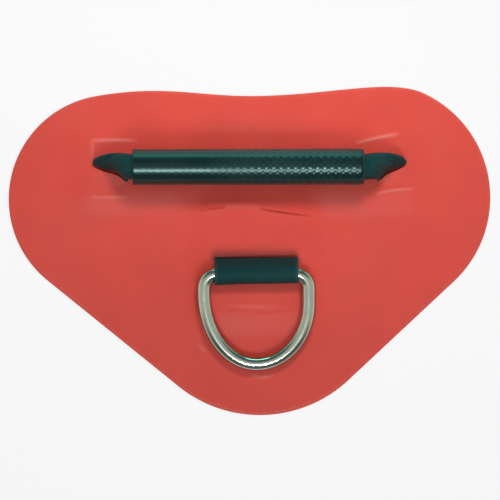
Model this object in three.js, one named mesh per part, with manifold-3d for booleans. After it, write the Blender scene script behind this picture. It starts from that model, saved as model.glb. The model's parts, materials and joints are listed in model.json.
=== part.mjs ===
// Carry handle and D-ring on a bonded patch, for an inflatable boat.
// Millimetres. X runs along the handle, Y from the D-ring towards the handle, Z out of the patch.
// The origin is the middle of the patch, on its bonding face.

import * as THREE from 'three';
import { mergeVertices } from 'three/addons/utils/BufferGeometryUtils.js';
import Module from 'manifold-3d';

const wasm = await Module();
wasm.setup();

// ---------------------------------------------------------------- driving dimensions

const GAP = 0.3;                 // between faces that are bonded, sewn or lie on each other

// Coated fabric of the patch: two layers cut to one outline of three round corners.
const FABRIC = 1.0;
const PATCH = { width: 279, height: 190 };
const LEFT_CORNER = { r: 60.5, drop: 65, leaves: 100 };   // drop of the centre below the patch's top,
const RIGHT_CORNER = { r: 66.5, drop: 64, leaves: 65 };   // and the angle where the top edge leaves it
const NOSE_CORNER = { r: 75, x: 6 };
const WAIST_DROP = 5.3;                      // hollow of the top edge, at x = 0
const TOP_PULL = { right: 22, rightWaist: 45, left: 40, leftWaist: 30 };

// Webbing, and the cover fabric tented over its hidden tails.
const WEBBING = 1.6;
const SHOULDER = 3.7;            // run of the slope beside a tail
const PAD_RIM = 0.8;             // flat rim of the tented cover beyond the webbing

// Handle: webbing curled inside a rubber sleeve, through a slanting slot at each end.
const HANDLE_WEB = 25;
const HANDLE_SLOT_BEYOND = 24;   // outer end of each slot, past the sleeve's end
const HANDLE_SLOT_Y = 51;        // and its height up the patch
const HANDLE_SLOT_SLANT = 28;    // degrees, falling towards the middle
const HANDLE_SLOT_TAKEUP = 0.92; // the curled webbing takes up less than its flat width
const HANDLE_TAIL_SPARE = 5;     // of each hidden tail, between its stub and its seam
const HANDLE_TAIL_Y = 47.6;
const HANDLE_LEAN_MAX = 45;      // degrees that the handle may lean from rest
const LEAN_MARGIN = 3;

const SLEEVE = { length: 134, x: -0.6, y: 48.6, outer: 10.45, wall: 2.7, chamfer: 0.8 };
const FINGER_GAP = 8.25;         // under the sleeve, when it stands at rest
const CURL_BEYOND = 1;           // the webbing keeps its curl for this far past the sleeve's ends

// D-ring and the webbing loop that holds its bar.
const RING_WEB = 48.6;
const RING_WEB_X = 4.0;
const RING_SLOT_Y = -5.8;
const RING_TAIL_UPPER = 28;
const RING_TAIL_LOWER = 28;
const RING = { x: 3.5, wire: 8.2, sidePlay: 4, corner: 6.4, reach: 52.3 };
const RING_SHOULDER = { left: 10.7, right: 16.7 };   // where each straight side starts to curve in
const LOOP_SLACK = 1.3;          // of the loop between its slot and the bar
const BAR_PLAY = 0.5;            // of the bar in the loop

// Lockstitched box and cross through each tail and the backing.
const THREAD = { width: 0.8, height: 0.4 };
const STITCH_INSET = 3.5;
const STITCH_LENGTH = 16;

const COLOURS = {
  coated: { color: 0xd65048, roughness: 0.45, metalness: 0 },
  webbing: { color: 0x16292b, roughness: 0.8, metalness: 0 },
  rubber: { color: 0x14282a, roughness: 0.4, metalness: 0 },
  steel: { color: 0xb9bdb4, roughness: 0.2, metalness: 1 },
  thread: { color: 0x222a2c, roughness: 0.7, metalness: 0 },
};

// ---------------------------------------------------------------- levels and places

const radians = THREE.MathUtils.degToRad;

const TAIL_BASE = FABRIC + GAP;
const TAIL_TOP = TAIL_BASE + WEBBING;
const COVER_TOP = TAIL_BASE + FABRIC;
const PAD_UNDER = TAIL_TOP + GAP;
const PAD_TOP = PAD_UNDER + FABRIC;

const SLEEVE_BORE = SLEEVE.outer - SLEEVE.wall;
const SLEEVE_Z = COVER_TOP + FINGER_GAP + SLEEVE.outer;
const HANDLE_SLOT_X = SLEEVE.length / 2 + HANDLE_SLOT_BEYOND;

// Half of the slot's chord, and how far it and the webbing's thickness reach across the hinge line.
const SLOT_HALF = HANDLE_WEB * HANDLE_SLOT_TAKEUP / 2;
const SLANT = radians(HANDLE_SLOT_SLANT);
const SLOT_REACH_X = SLOT_HALF * Math.cos(SLANT);
const HANDLE_TAIL = 2 * SLOT_REACH_X + HANDLE_TAIL_SPARE + STITCH_LENGTH + STITCH_INSET;
const SLOT_REACH_Y = SLOT_HALF * Math.sin(SLANT) + WEBBING / 2 * Math.cos(SLANT);
const HANDLE_HINGE = {
  y: HANDLE_SLOT_Y - SLOT_HALF * Math.sin(SLANT),
  z: PAD_UNDER + FABRIC / 2,
};
const RISER_LIFT = SLOT_REACH_Y / Math.tan(radians(90 - HANDLE_LEAN_MAX - LEAN_MARGIN));

const RING_RADIUS = RING.wire / 2;
const LOOP_BORE = RING_RADIUS + BAR_PLAY;
const LOOP_OUTER = LOOP_BORE + WEBBING;
const NECK = WEBBING + GAP / 2;
const LOOP_HINGE = { y: RING_SLOT_Y, z: PAD_TOP + 2 * GAP + NECK };
const BAR = { y: RING_SLOT_Y - LOOP_OUTER - LOOP_SLACK, z: PAD_TOP + GAP + LOOP_OUTER };
const RING_TILT = Math.asin((BAR.z - COVER_TOP - GAP - RING_RADIUS) / RING.reach);   // tip on the patch

const HANDLE_TAILS = {
  left: tailBeside(-1),
  right: tailBeside(1),
};
const RING_TAILS = {
  upper: {
    x0: RING_WEB_X - RING_WEB / 2,
    x1: RING_WEB_X + RING_WEB / 2,
    y0: RING_SLOT_Y + GAP / 2,
    y1: RING_SLOT_Y + RING_TAIL_UPPER,
  },
  lower: {
    x0: RING_WEB_X - RING_WEB / 2,
    x1: RING_WEB_X + RING_WEB / 2,
    y0: RING_SLOT_Y - RING_TAIL_LOWER,
    y1: RING_SLOT_Y - GAP / 2,
  },
};

// The flat tail of the handle's webbing on one side (-1 left, 1 right), from its fold inwards.
function tailBeside(side) {
  const fold = side * (HANDLE_SLOT_X + WEBBING / 2);
  const end = fold - side * HANDLE_TAIL;
  return {
    x0: Math.min(fold, end),
    x1: Math.max(fold, end),
    y0: HANDLE_TAIL_Y - HANDLE_WEB / 2,
    y1: HANDLE_TAIL_Y + HANDLE_WEB / 2,
  };
}

// ---------------------------------------------------------------- solids

function solid(geometry) {
  const bare = geometry.clone();
  bare.deleteAttribute('normal');
  bare.deleteAttribute('uv');
  const merged = mergeVertices(bare, 1e-4);
  return new wasm.Manifold(new wasm.Mesh({
    numProp: 3,
    vertProperties: new Float32Array(merged.attributes.position.array),
    triVerts: new Uint32Array(merged.index.array),
  }));
}

function geometryOf(body) {
  const mesh = body.getMesh();
  const geometry = new THREE.BufferGeometry();
  geometry.setAttribute('position', new THREE.BufferAttribute(mesh.vertProperties, 3));
  geometry.setIndex(new THREE.BufferAttribute(mesh.triVerts, 1));
  geometry.computeVertexNormals();
  return geometry;
}

function block(x0, x1, y0, y1, z0, z1) {
  const box = new THREE.BoxGeometry(x1 - x0, y1 - y0, z1 - z0);
  box.translate((x0 + x1) / 2, (y0 + y1) / 2, (z0 + z1) / 2);
  return solid(box);
}

// A block of length 2 * halfLength along a direction in the XY plane.
function slantedBlock(centre, angle, halfLength, halfWidth, z0, z1) {
  const box = new THREE.BoxGeometry(2 * halfLength, 2 * halfWidth, z1 - z0);
  box.rotateZ(angle);
  box.translate(centre.x, centre.y, (z0 + z1) / 2);
  return solid(box);
}

// A cylinder about a line along X.
function rod(centre, radius, x0, x1, sides) {
  const cylinder = new THREE.CylinderGeometry(radius, radius, x1 - x0, sides);
  cylinder.rotateZ(Math.PI / 2);
  cylinder.translate((x0 + x1) / 2, centre.y, centre.z);
  return solid(cylinder);
}

function extrudeUp(shape, z0, z1, curveSegments) {
  const geometry = new THREE.ExtrudeGeometry(shape, { depth: z1 - z0, bevelEnabled: false, curveSegments });
  geometry.translate(0, 0, z0);
  return solid(geometry);
}

// A shape drawn in the YZ plane, extruded along X.
function extrudeAcross(shape, x0, x1, curveSegments) {
  const geometry = new THREE.ExtrudeGeometry(shape, { depth: x1 - x0, bevelEnabled: false, curveSegments });
  geometry.applyMatrix4(new THREE.Matrix4().makeBasis(
    new THREE.Vector3(0, 1, 0), new THREE.Vector3(0, 0, 1), new THREE.Vector3(1, 0, 0)));
  geometry.translate(x0, 0, 0);
  return solid(geometry);
}

// A frustum over a rectangle, grown by `foot` at its base and by `head` at its top.
function frustum(rect, foot, head, z0, z1) {
  const level = (grow, z) => [
    [rect.x0 - grow, rect.y0 - grow, z],
    [rect.x1 + grow, rect.y0 - grow, z],
    [rect.x1 + grow, rect.y1 + grow, z],
    [rect.x0 - grow, rect.y1 + grow, z],
  ];
  return solid(loft([level(foot, z0), level(head, z1)], false));
}

// Rings of points joined one to the next, closed into a hoop or capped at both ends.
function loft(rings, hoop) {
  const count = rings[0].length;
  const triangles = [];
  const quad = (a, b, c, d) => triangles.push(a, b, c, a, c, d);
  const last = hoop ? rings.length : rings.length - 1;
  for (let i = 0; i < last; i++) {
    const here = i * count;
    const next = (i + 1) % rings.length * count;
    for (let j = 0; j < count; j++) {
      const k = (j + 1) % count;
      quad(here + j, here + k, next + k, next + j);
    }
  }
  if (!hoop) {
    const end = (rings.length - 1) * count;
    for (let j = 1; j < count - 1; j++) {
      triangles.push(0, j + 1, j);
      triangles.push(end, end + j, end + j + 1);
    }
  }
  const geometry = new THREE.BufferGeometry();
  geometry.setAttribute('position', new THREE.Float32BufferAttribute(rings.flat(2), 3));
  geometry.setIndex(triangles);
  return geometry;
}

// ---------------------------------------------------------------- patch

// Angle, seen from both centres, at which a straight edge leaves corner a and reaches corner b.
function touchAngle(a, b) {
  const along = Math.atan2(b.y - a.y, b.x - a.x);
  const distance = Math.hypot(b.x - a.x, b.y - a.y);
  return along - Math.acos((a.r - b.r) / distance);
}

function onCorner(corner, angle) {
  return {
    x: corner.x + corner.r * Math.cos(angle),
    y: corner.y + corner.r * Math.sin(angle),
    tx: -Math.sin(angle),
    ty: Math.cos(angle),
  };
}

function patchOutline() {
  const top = PATCH.height / 2;
  const left = { x: LEFT_CORNER.r - PATCH.width / 2, y: top - LEFT_CORNER.drop, r: LEFT_CORNER.r };
  const right = { x: PATCH.width / 2 - RIGHT_CORNER.r, y: top - RIGHT_CORNER.drop, r: RIGHT_CORNER.r };
  const nose = { x: NOSE_CORNER.x, y: NOSE_CORNER.r - PATCH.height / 2, r: NOSE_CORNER.r };
  const leftTop = radians(LEFT_CORNER.leaves);
  const rightTop = radians(RIGHT_CORNER.leaves);
  const lowerLeft = touchAngle(left, nose);
  const lowerRight = touchAngle(nose, right);
  const waist = top - WAIST_DROP;
  const start = onCorner(left, leftTop);
  const end = onCorner(right, rightTop);
  const shape = new THREE.Shape();
  shape.moveTo(start.x, start.y);
  shape.absarc(left.x, left.y, left.r, leftTop, lowerLeft, false);
  shape.absarc(nose.x, nose.y, nose.r, lowerLeft, lowerRight, false);
  shape.absarc(right.x, right.y, right.r, lowerRight, rightTop, false);
  shape.bezierCurveTo(
    end.x + TOP_PULL.right * end.tx, end.y + TOP_PULL.right * end.ty,
    TOP_PULL.rightWaist, waist,
    0, waist);
  shape.bezierCurveTo(
    -TOP_PULL.leftWaist, waist,
    start.x - TOP_PULL.left * start.tx, start.y - TOP_PULL.left * start.ty,
    start.x, start.y);
  return shape;
}

function backingPatch() {
  let patch = extrudeUp(patchOutline(), 0, FABRIC, 20);
  for (const seam of Object.values(SEAMS)) {
    patch = patch.subtract(seamSolid(seam, GAP));
  }
  return patch;
}

// The outer layer, tented over the four tails, with pockets for them and slots for the webbing.
function outerPatch() {
  const ringPair = { ...RING_TAILS.upper, y0: RING_TAILS.lower.y0 };
  let patch = extrudeUp(patchOutline(), TAIL_BASE, COVER_TOP, 20);
  for (const rect of [HANDLE_TAILS.left, HANDLE_TAILS.right, ringPair]) {
    patch = patch.add(frustum(rect, PAD_RIM + SHOULDER, PAD_RIM, COVER_TOP - FABRIC / 2, PAD_TOP));
    patch = patch.subtract(block(
      rect.x0 - GAP, rect.x1 + GAP, rect.y0 - GAP, rect.y1 + GAP, 0, PAD_UNDER));
  }
  for (const side of [-1, 1]) {
    patch = patch.subtract(slantedBlock(
      slotCentre(side), side * SLANT, SLOT_HALF + GAP, WEBBING / 2 + GAP, 0, PAD_TOP + GAP));
  }
  const mouth = WEBBING + GAP + GAP / 2;
  return patch.subtract(block(
    ringPair.x0 - GAP, ringPair.x1 + GAP, RING_SLOT_Y - mouth, RING_SLOT_Y + mouth, 0, PAD_TOP + GAP));
}

// ---------------------------------------------------------------- seams

function stitchBox(rect, along) {
  const box = {
    x0: rect.x0 + STITCH_INSET,
    x1: rect.x1 - STITCH_INSET,
    y0: rect.y0 + STITCH_INSET,
    y1: rect.y1 - STITCH_INSET,
  };
  if (along === 'from left') box.x1 = box.x0 + STITCH_LENGTH;
  if (along === 'from right') box.x0 = box.x1 - STITCH_LENGTH;
  if (along === 'from below') box.y1 = box.y0 + STITCH_LENGTH;
  if (along === 'from above') box.y0 = box.y1 - STITCH_LENGTH;
  return box;
}

const SEAMS = {
  seam_handle_left: stitchBox(HANDLE_TAILS.left, 'from right'),
  seam_handle_right: stitchBox(HANDLE_TAILS.right, 'from left'),
  seam_ring_upper: stitchBox(RING_TAILS.upper, 'from above'),
  seam_ring_lower: stitchBox(RING_TAILS.lower, 'from below'),
};

// The outline of a box with both diagonals, drawn as bars of half width `half`.
function boxAndCross(box, half) {
  const middle = { x: (box.x0 + box.x1) / 2, y: (box.y0 + box.y1) / 2 };
  const a = (box.x1 - box.x0) / 2;
  const b = (box.y1 - box.y0) / 2;
  const slope = b / a;
  const rise = half * Math.hypot(1, slope);
  const shape = new THREE.Shape();
  shape.moveTo(box.x0 - half, box.y0 - half);
  shape.lineTo(box.x1 + half, box.y0 - half);
  shape.lineTo(box.x1 + half, box.y1 + half);
  shape.lineTo(box.x0 - half, box.y1 + half);
  shape.closePath();
  for (const side of [-1, 1]) {
    const overX = (b - half - rise) / slope;
    const overY = (a - half) * slope - rise;
    const edgeX = side * (a - half);
    const edgeY = side * (b - half);
    shape.holes.push(triangle(middle, [[-overX, edgeY], [overX, edgeY], [0, side * rise]]));
    shape.holes.push(triangle(middle, [[edgeX, -overY], [edgeX, overY], [side * rise / slope, 0]]));
  }
  return shape;
}

function triangle(middle, corners) {
  return new THREE.Path(corners.map(([x, y]) => new THREE.Vector2(middle.x + x, middle.y + y)));
}

// A stitched box and cross: a run of thread on each face, joined by legs at the corners and the
// middle. `grow` makes the grooves and holes that it lies in.
function seamSolid(box, grow) {
  const half = THREAD.width / 2 + grow;
  const leg = half - THREAD.width / 8;
  const outline = boxAndCross(box, half);
  const legs = [
    [box.x0, box.y0],
    [box.x1, box.y0],
    [box.x0, box.y1],
    [box.x1, box.y1],
    [(box.x0 + box.x1) / 2, (box.y0 + box.y1) / 2],
  ];
  const foot = THREAD.height / 2;
  let seam = extrudeUp(outline, -grow, THREAD.height + grow, 1)
    .add(extrudeUp(outline, TAIL_TOP - THREAD.height - grow, TAIL_TOP + grow, 1));
  for (const [x, y] of legs) {
    seam = seam.add(block(x - leg, x + leg, y - leg, y + leg, foot, TAIL_TOP - foot));
  }
  return seam;
}

// ---------------------------------------------------------------- handle

function slotCentre(side) {
  return { x: side * (HANDLE_SLOT_X - SLOT_REACH_X), y: HANDLE_HINGE.y };
}

// The hidden tail and its stub, which stands up through the slot inside the swing of the riser.
function handleTail(side, rect, seam) {
  const reach = RISER_LIFT - GAP;
  const stub = slantedBlock(
    slotCentre(side), side * SLANT, SLOT_HALF, WEBBING / 2, TAIL_TOP - WEBBING / 2, HANDLE_HINGE.z + reach);
  const swing = rod(HANDLE_HINGE, reach, -2 * HANDLE_SLOT_X, 2 * HANDLE_SLOT_X, 48);
  return block(rect.x0, rect.x1, rect.y0, rect.y1, TAIL_BASE, TAIL_TOP)
    .subtract(seamSolid(seam, GAP))
    .add(stub.intersect(swing));
}

// A strap of webbing from a grid of middle points: rows run along it, columns across it.
function thickSheet(rows, thickness) {
  const high = rows.length - 1;
  const wide = rows[0].length - 1;
  const rings = rows.map((row, i) => {
    const faces = [-1, 1].map((face) => row.map((point, j) => {
      const along = rows[Math.min(i + 1, high)][j].clone().sub(rows[Math.max(i - 1, 0)][j]);
      const across = row[Math.min(j + 1, wide)].clone().sub(row[Math.max(j - 1, 0)]);
      const normal = along.cross(across).normalize();
      return point.clone().addScaledVector(normal, face * thickness / 2);
    }));
    return [...faces[0], ...faces[1].reverse()];
  });
  const count = rings[0].length;
  const triangles = [];
  const quad = (a, b, c, d) => triangles.push(a, b, c, a, c, d);
  for (let i = 0; i < high; i++) {
    for (let j = 0; j < count; j++) {
      const k = (j + 1) % count;
      quad(i * count + j, i * count + k, (i + 1) * count + k, (i + 1) * count + j);
    }
  }
  for (let j = 0; j < wide; j++) {
    const mate = count - 1 - j;
    quad(j, mate, mate - 1, j + 1);
    const end = high * count;
    quad(end + j, end + j + 1, end + mate - 1, end + mate);
  }
  const geometry = new THREE.BufferGeometry();
  geometry.setAttribute('position', new THREE.Float32BufferAttribute(
    rings.flat().flatMap((point) => point.toArray()), 3));
  geometry.setIndex(triangles);
  return geometry;
}

// The handle's webbing between its slots: it rises from one slanting slot, curls over into the
// sleeve with its open side down, and goes down into the other slot.
function handleRun() {
  const across = 10;
  const up = 7;
  const curlRadius = SLEEVE_BORE - GAP - WEBBING / 2;
  const curl = HANDLE_WEB / curlRadius / 2;
  const curled = (x, share) => new THREE.Vector3(
    x,
    SLEEVE.y + curlRadius * Math.sin(curl * share),
    SLEEVE_Z + curlRadius * Math.cos(curl * share));
  const shares = Array.from({ length: across + 1 }, (_, j) => 2 * j / across - 1);
  const base = HANDLE_HINGE.z + RISER_LIFT;
  const rows = [];
  for (const side of [-1, 1]) {
    const mouth = SLEEVE.x + side * (SLEEVE.length / 2 + CURL_BEYOND);
    const centre = slotCentre(side);
    const riser = [];
    for (let i = 0; i <= up; i++) {
      const t = i / up;
      riser.push(shares.map((share) => {
        const foot = new THREE.Vector3(
          centre.x + side * share * SLOT_REACH_X, centre.y + share * SLOT_HALF * Math.sin(SLANT), base);
        const head = curled(mouth, share);
        const pull = foot.distanceTo(head);
        const upward = new THREE.Vector3(0, 0, pull);
        const inward = new THREE.Vector3(-side * pull, 0, 0);
        return hermite(foot, upward, head, inward, t);
      }));
    }
    riser.push(shares.map((share) => curled(mouth - side * 3 * CURL_BEYOND, share)));
    rows.push(...(side < 0 ? riser : riser.reverse()));
  }
  return thickSheet(rows, WEBBING);
}

function hermite(start, startPull, end, endPull, t) {
  const t2 = t * t;
  const t3 = t2 * t;
  return start.clone().multiplyScalar(2 * t3 - 3 * t2 + 1)
    .addScaledVector(startPull, t3 - 2 * t2 + t)
    .addScaledVector(end, 3 * t2 - 2 * t3)
    .addScaledVector(endPull, t3 - t2);
}

function gripSleeve() {
  const half = SLEEVE.length / 2;
  const c = SLEEVE.chamfer;
  const profile = [
    [SLEEVE_BORE, -half],
    [SLEEVE.outer - c, -half],
    [SLEEVE.outer, -half + c],
    [SLEEVE.outer, half - c],
    [SLEEVE.outer - c, half],
    [SLEEVE_BORE, half],
    [SLEEVE_BORE, -half],
  ].map(([r, along]) => new THREE.Vector2(r, along));
  const sleeve = new THREE.LatheGeometry(profile, 48);
  sleeve.rotateZ(Math.PI / 2);
  sleeve.translate(SLEEVE.x, SLEEVE.y, SLEEVE_Z);
  return solid(sleeve);
}

// ---------------------------------------------------------------- D-ring

// One half of the ring's webbing tail, turned up through the slot beside the other half.
function ringTail(rect, seam) {
  const inner = rect.y0 > RING_SLOT_Y ? rect.y0 : rect.y1 - WEBBING;
  const stubTop = LOOP_HINGE.z - NECK - GAP;
  return block(rect.x0, rect.x1, rect.y0, rect.y1, TAIL_BASE, TAIL_TOP)
    .subtract(seamSolid(seam, GAP))
    .add(block(rect.x0, rect.x1, inner, inner + WEBBING, TAIL_BASE, stubTop));
}

// A teardrop round two centres in the YZ plane: radius `small` at the hinge, `large` at the bar.
function teardrop(small, large, hinge, bar) {
  const a = { x: hinge.y, y: hinge.z, r: small };
  const b = { x: bar.y, y: bar.z, r: large };
  const one = touchAngle(a, b);
  const other = touchAngle(b, a);
  const shape = new THREE.Shape();
  shape.absarc(b.x, b.y, b.r, one, other, false);
  shape.absarc(a.x, a.y, a.r, other, one, false);
  return shape;
}

function ringLoop() {
  const apex = 2 * WEBBING / Math.hypot(BAR.y - LOOP_HINGE.y, BAR.z - LOOP_HINGE.z);
  const fold = {
    y: LOOP_HINGE.y + (BAR.y - LOOP_HINGE.y) * apex,
    z: LOOP_HINGE.z + (BAR.z - LOOP_HINGE.z) * apex,
  };
  const x0 = RING_WEB_X - RING_WEB / 2;
  const x1 = RING_WEB_X + RING_WEB / 2;
  return extrudeAcross(teardrop(NECK, LOOP_OUTER, LOOP_HINGE, BAR), x0, x1, 12)
    .subtract(extrudeAcross(teardrop(GAP / 2, LOOP_BORE, fold, BAR), x0 - GAP, x1 + GAP, 12));
}

// The ring's centre line in its own plane: X across, Y away from the bar.
function ringCentreline() {
  const half = (RING_WEB + RING.sidePlay) / 2 + RING_RADIUS;
  const bend = RING.corner;
  const quarter = Math.PI / 2;
  const { left, right } = RING_SHOULDER;
  const path = new THREE.Path();
  path.moveTo(-half + bend, 0);
  path.lineTo(half - bend, 0);
  path.absarc(half - bend, bend, bend, -quarter, 0, false);
  path.lineTo(half, right);
  path.absellipse(0, right, half, RING.reach - right, 0, quarter, false, 0);
  path.absellipse(0, left, half, RING.reach - left, quarter, 2 * quarter, false, 0);
  path.lineTo(-half, bend);
  path.absarc(-half + bend, bend, bend, 2 * quarter, 3 * quarter, false);
  return path;
}

function dRing() {
  const points = ringCentreline().getPoints(8);
  const route = points.filter((point, i) => point.distanceTo(points[(i + 1) % points.length]) > 1e-3);
  const sides = 20;
  const rings = route.map((point, i) => {
    const before = route[(i + route.length - 1) % route.length];
    const after = route[(i + 1) % route.length];
    const outward = new THREE.Vector2(after.y - before.y, before.x - after.x).normalize();
    return Array.from({ length: sides }, (_, j) => {
      const turn = 2 * Math.PI * j / sides;
      const across = RING_RADIUS * Math.cos(turn);
      const away = point.y + outward.y * across;
      const above = RING_RADIUS * Math.sin(turn);
      return [
        RING.x + point.x + outward.x * across,
        BAR.y - away * Math.cos(RING_TILT) - above * Math.sin(RING_TILT),
        BAR.z - away * Math.sin(RING_TILT) + above * Math.cos(RING_TILT),
      ];
    });
  });
  return loft(rings, true);
}

// ---------------------------------------------------------------- assembly

const part = new THREE.Group();
part.name = 'handle_and_ring_patch';

function add(name, shape, finish) {
  const geometry = shape.isBufferGeometry ? shape : geometryOf(shape);
  if (!geometry.attributes.normal) geometry.computeVertexNormals();
  const mesh = new THREE.Mesh(geometry, new THREE.MeshStandardMaterial(COLOURS[finish]));
  mesh.name = name;
  part.add(mesh);
}

add('outer_patch', outerPatch(), 'coated');
add('backing_patch', backingPatch(), 'coated');
add('handle_tail_left', handleTail(-1, HANDLE_TAILS.left, SEAMS.seam_handle_left), 'webbing');
add('handle_tail_right', handleTail(1, HANDLE_TAILS.right, SEAMS.seam_handle_right), 'webbing');
add('handle_run', handleRun(), 'webbing');
add('grip_sleeve', gripSleeve(), 'rubber');
add('ring_tail_upper', ringTail(RING_TAILS.upper, SEAMS.seam_ring_upper), 'webbing');
add('ring_tail_lower', ringTail(RING_TAILS.lower, SEAMS.seam_ring_lower), 'webbing');
add('ring_loop', ringLoop(), 'webbing');
add('d_ring', dRing(), 'steel');
for (const [name, box] of Object.entries(SEAMS)) {
  add(name, seamSolid(box, 0), 'thread');
}

export default part;
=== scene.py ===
"""Looks of a carry handle and D-ring on a bonded patch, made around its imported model.

Everything is in metres, in the model's own frame: X along the handle, Y from the ring to the
handle, Z out of the patch.
"""

import json
import math

import bpy
import numpy as np
from bpy.props import FloatProperty, FloatVectorProperty, IntProperty, PointerProperty
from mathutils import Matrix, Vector, geometry


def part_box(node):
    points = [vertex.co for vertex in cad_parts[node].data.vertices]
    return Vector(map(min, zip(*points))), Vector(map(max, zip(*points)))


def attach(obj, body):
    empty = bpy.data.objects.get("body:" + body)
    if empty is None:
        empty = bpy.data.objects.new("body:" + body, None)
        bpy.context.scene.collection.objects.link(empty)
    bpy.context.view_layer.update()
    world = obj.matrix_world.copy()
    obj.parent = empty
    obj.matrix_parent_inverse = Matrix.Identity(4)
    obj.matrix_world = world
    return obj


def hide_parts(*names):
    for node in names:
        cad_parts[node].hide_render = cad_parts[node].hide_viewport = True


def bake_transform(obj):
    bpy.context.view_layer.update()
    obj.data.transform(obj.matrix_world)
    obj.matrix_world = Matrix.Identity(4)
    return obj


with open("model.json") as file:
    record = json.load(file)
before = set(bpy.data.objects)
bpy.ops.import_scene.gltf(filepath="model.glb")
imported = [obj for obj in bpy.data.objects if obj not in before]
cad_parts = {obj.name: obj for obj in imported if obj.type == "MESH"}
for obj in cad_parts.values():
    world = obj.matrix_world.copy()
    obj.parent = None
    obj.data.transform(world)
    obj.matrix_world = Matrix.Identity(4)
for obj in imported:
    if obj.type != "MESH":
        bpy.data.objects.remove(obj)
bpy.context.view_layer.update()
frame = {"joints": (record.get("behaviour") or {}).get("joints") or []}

bl_info = {
    "name": "Carry handle patch",
    "version": (1, 0, 0),
    "blender": (4, 5, 0),
    "location": "View3D > Sidebar > Handle patch",
    "description": "Makes the cloth, webbing, rubber and steel of a boat's handle and D-ring patch",
    "category": "Add Mesh",
}

MM = 0.001
TURN = 2 * math.pi


def middle_and_size(node):
    """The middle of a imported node's box, and its size."""
    low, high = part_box(node)
    return (low + high) / 2, high - low


def joint_place(name):
    """A point on a joint's axis."""
    joint = next(j for j in frame["joints"] if j["name"] == name)
    return Vector(joint["pos_m"])


def from_hex(code):
    """A colour as linear red, green and blue."""
    parts = [int(code[i:i + 2], 16) / 255 for i in (0, 2, 4)]
    return [c / 12.92 if c <= 0.04045 else ((c + 0.055) / 1.055) ** 2.4 for c in parts]


# ---------------------------------------------------------------- sizes and colours

PATCH_SIZE = middle_and_size("backing_patch")[1]
SLEEVE_MIDDLE, SLEEVE_SIZE = middle_and_size("grip_sleeve")
LOOP_MIDDLE = middle_and_size("ring_loop")[0]
RING_MIDDLE, RING_SIZE = middle_and_size("d_ring")
LOOP_HINGE = joint_place("loop_swing")
BAR = joint_place("ring_swing")


def length(name, description, default):
    """A size that a user can change."""
    return FloatProperty(
        name=name, description=description, default=default, unit="LENGTH", precision=4)


def tint(name, description, code):
    """A colour that a user can change."""
    return FloatVectorProperty(
        name=name, description=description, default=from_hex(code), subtype="COLOR", min=0, max=1)


def share(name, description, default):
    """A value from 0 to 1 that a user can change."""
    return FloatProperty(
        name=name, description=description, default=default, subtype="FACTOR", min=0, max=1)


class PatchSizes(bpy.types.PropertyGroup):
    """The two layers of coated fabric."""
    width: length("Width", "Across the patch", PATCH_SIZE.x)
    height: length("Height", "From its nose to its top", PATCH_SIZE.y)
    left_radius: length("Left corner", "Radius of the left corner", 60.5 * MM)
    right_radius: length("Right corner", "Radius of the right corner", 66.5 * MM)
    nose_radius: length("Nose", "Radius of the nose", 75 * MM)
    nose_offset: length("Nose offset", "How far the nose is right of the middle", 6 * MM)
    waist_drop: length("Waist", "Hollow of the top edge", 5.3 * MM)
    fabric: length("Fabric", "Thickness of one layer", 1.0 * MM)
    pad_lift: length("Pad lift", "How far the cover stands over the webbing under it", 1.9 * MM)
    pad_slope: length("Pad slope", "Run of the slope beside the webbing", 18.0 * MM)
    lip_lift: length("Lip lift", "How far the webbing pushes up the lip of its slit", 1.5 * MM)
    colour: tint("Fabric colour", "Colour of the coated fabric", "CE463C")
    wear: share("Fabric wear", "How scuffed the coating is", 0.35)


class HandleSizes(bpy.types.PropertyGroup):
    """The handle's strap and its rubber sleeve."""
    strap_width: length("Strap width", "Width of the handle's webbing", 25 * MM)
    strap_thickness: length("Strap thickness", "Thickness of the handle's webbing", 1.6 * MM)
    curl_radius: length("Curl radius", "Radius of the strap's curl inside the sleeve", 6.55 * MM)
    wall: length("Sleeve wall", "Thickness of the rubber", 2.7 * MM)
    end_round: length("Left end", "Rounding of the sleeve's left end", 0.7 * MM)
    end_pinch: length("Right end", "Rounding of the sleeve's right end", 2.4 * MM)
    braid_pitch: length("Braid pitch", "Length of one diamond of the braid", 4.2 * MM)
    braid_rows: IntProperty(
        name="Braid rows", description="Diamonds round the sleeve", default=20, min=3)
    braid_depth: length("Braid depth", "Depth of the pressed braid", 0.17 * MM)
    rubber: tint("Rubber", "Colour of the sleeve", "061E20")
    webbing: tint("Webbing", "Colour of the webbing", "0B3235")


class RingSizes(bpy.types.PropertyGroup):
    """The D-ring and the webbing loop that holds it."""
    wire: length("Wire", "Diameter of the ring's wire", 8.3 * MM)
    corner: length("Corner", "Radius of the ring's upper corners", 8.0 * MM)
    left_shoulder: length("Left shoulder", "Length of the straight left side", 10.7 * MM)
    right_shoulder: length("Right shoulder", "Length of the straight right side", 16.7 * MM)
    loop_thickness: length("Loop thickness", "Thickness of the loop's webbing", 1.6 * MM)
    steel: tint("Steel", "Colour of the polished steel", "BCC2B4")
    wear: share("Steel wear", "How scratched the ring is", 0.3)


class SeamSizes(bpy.types.PropertyGroup):
    """The stitched boxes under the patch."""
    stitch: length("Stitch", "Length of one stitch", 3.0 * MM)
    pitch: length("Stitch pitch", "From one stitch to the next", 3.5 * MM)
    thread: length("Thread", "Thickness of the thread", 0.62 * MM)
    colour: tint("Thread colour", "Colour of the thread", "222A2C")


class StageSizes(bpy.types.PropertyGroup):
    """The floor, the lights and the camera."""
    view_width: length("View width", "Width that the camera takes in", 290 * MM)
    lens: FloatProperty(name="Lens", description="Focal length", default=600, unit="CAMERA")
    floor: tint("Floor", "Colour of the floor", "F4F4F4")


SETTINGS = {
    "handle_patch_cloth": PatchSizes,
    "handle_patch_handle": HandleSizes,
    "handle_patch_ring": RingSizes,
    "handle_patch_seams": SeamSizes,
    "handle_patch_stage": StageSizes,
}

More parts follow.
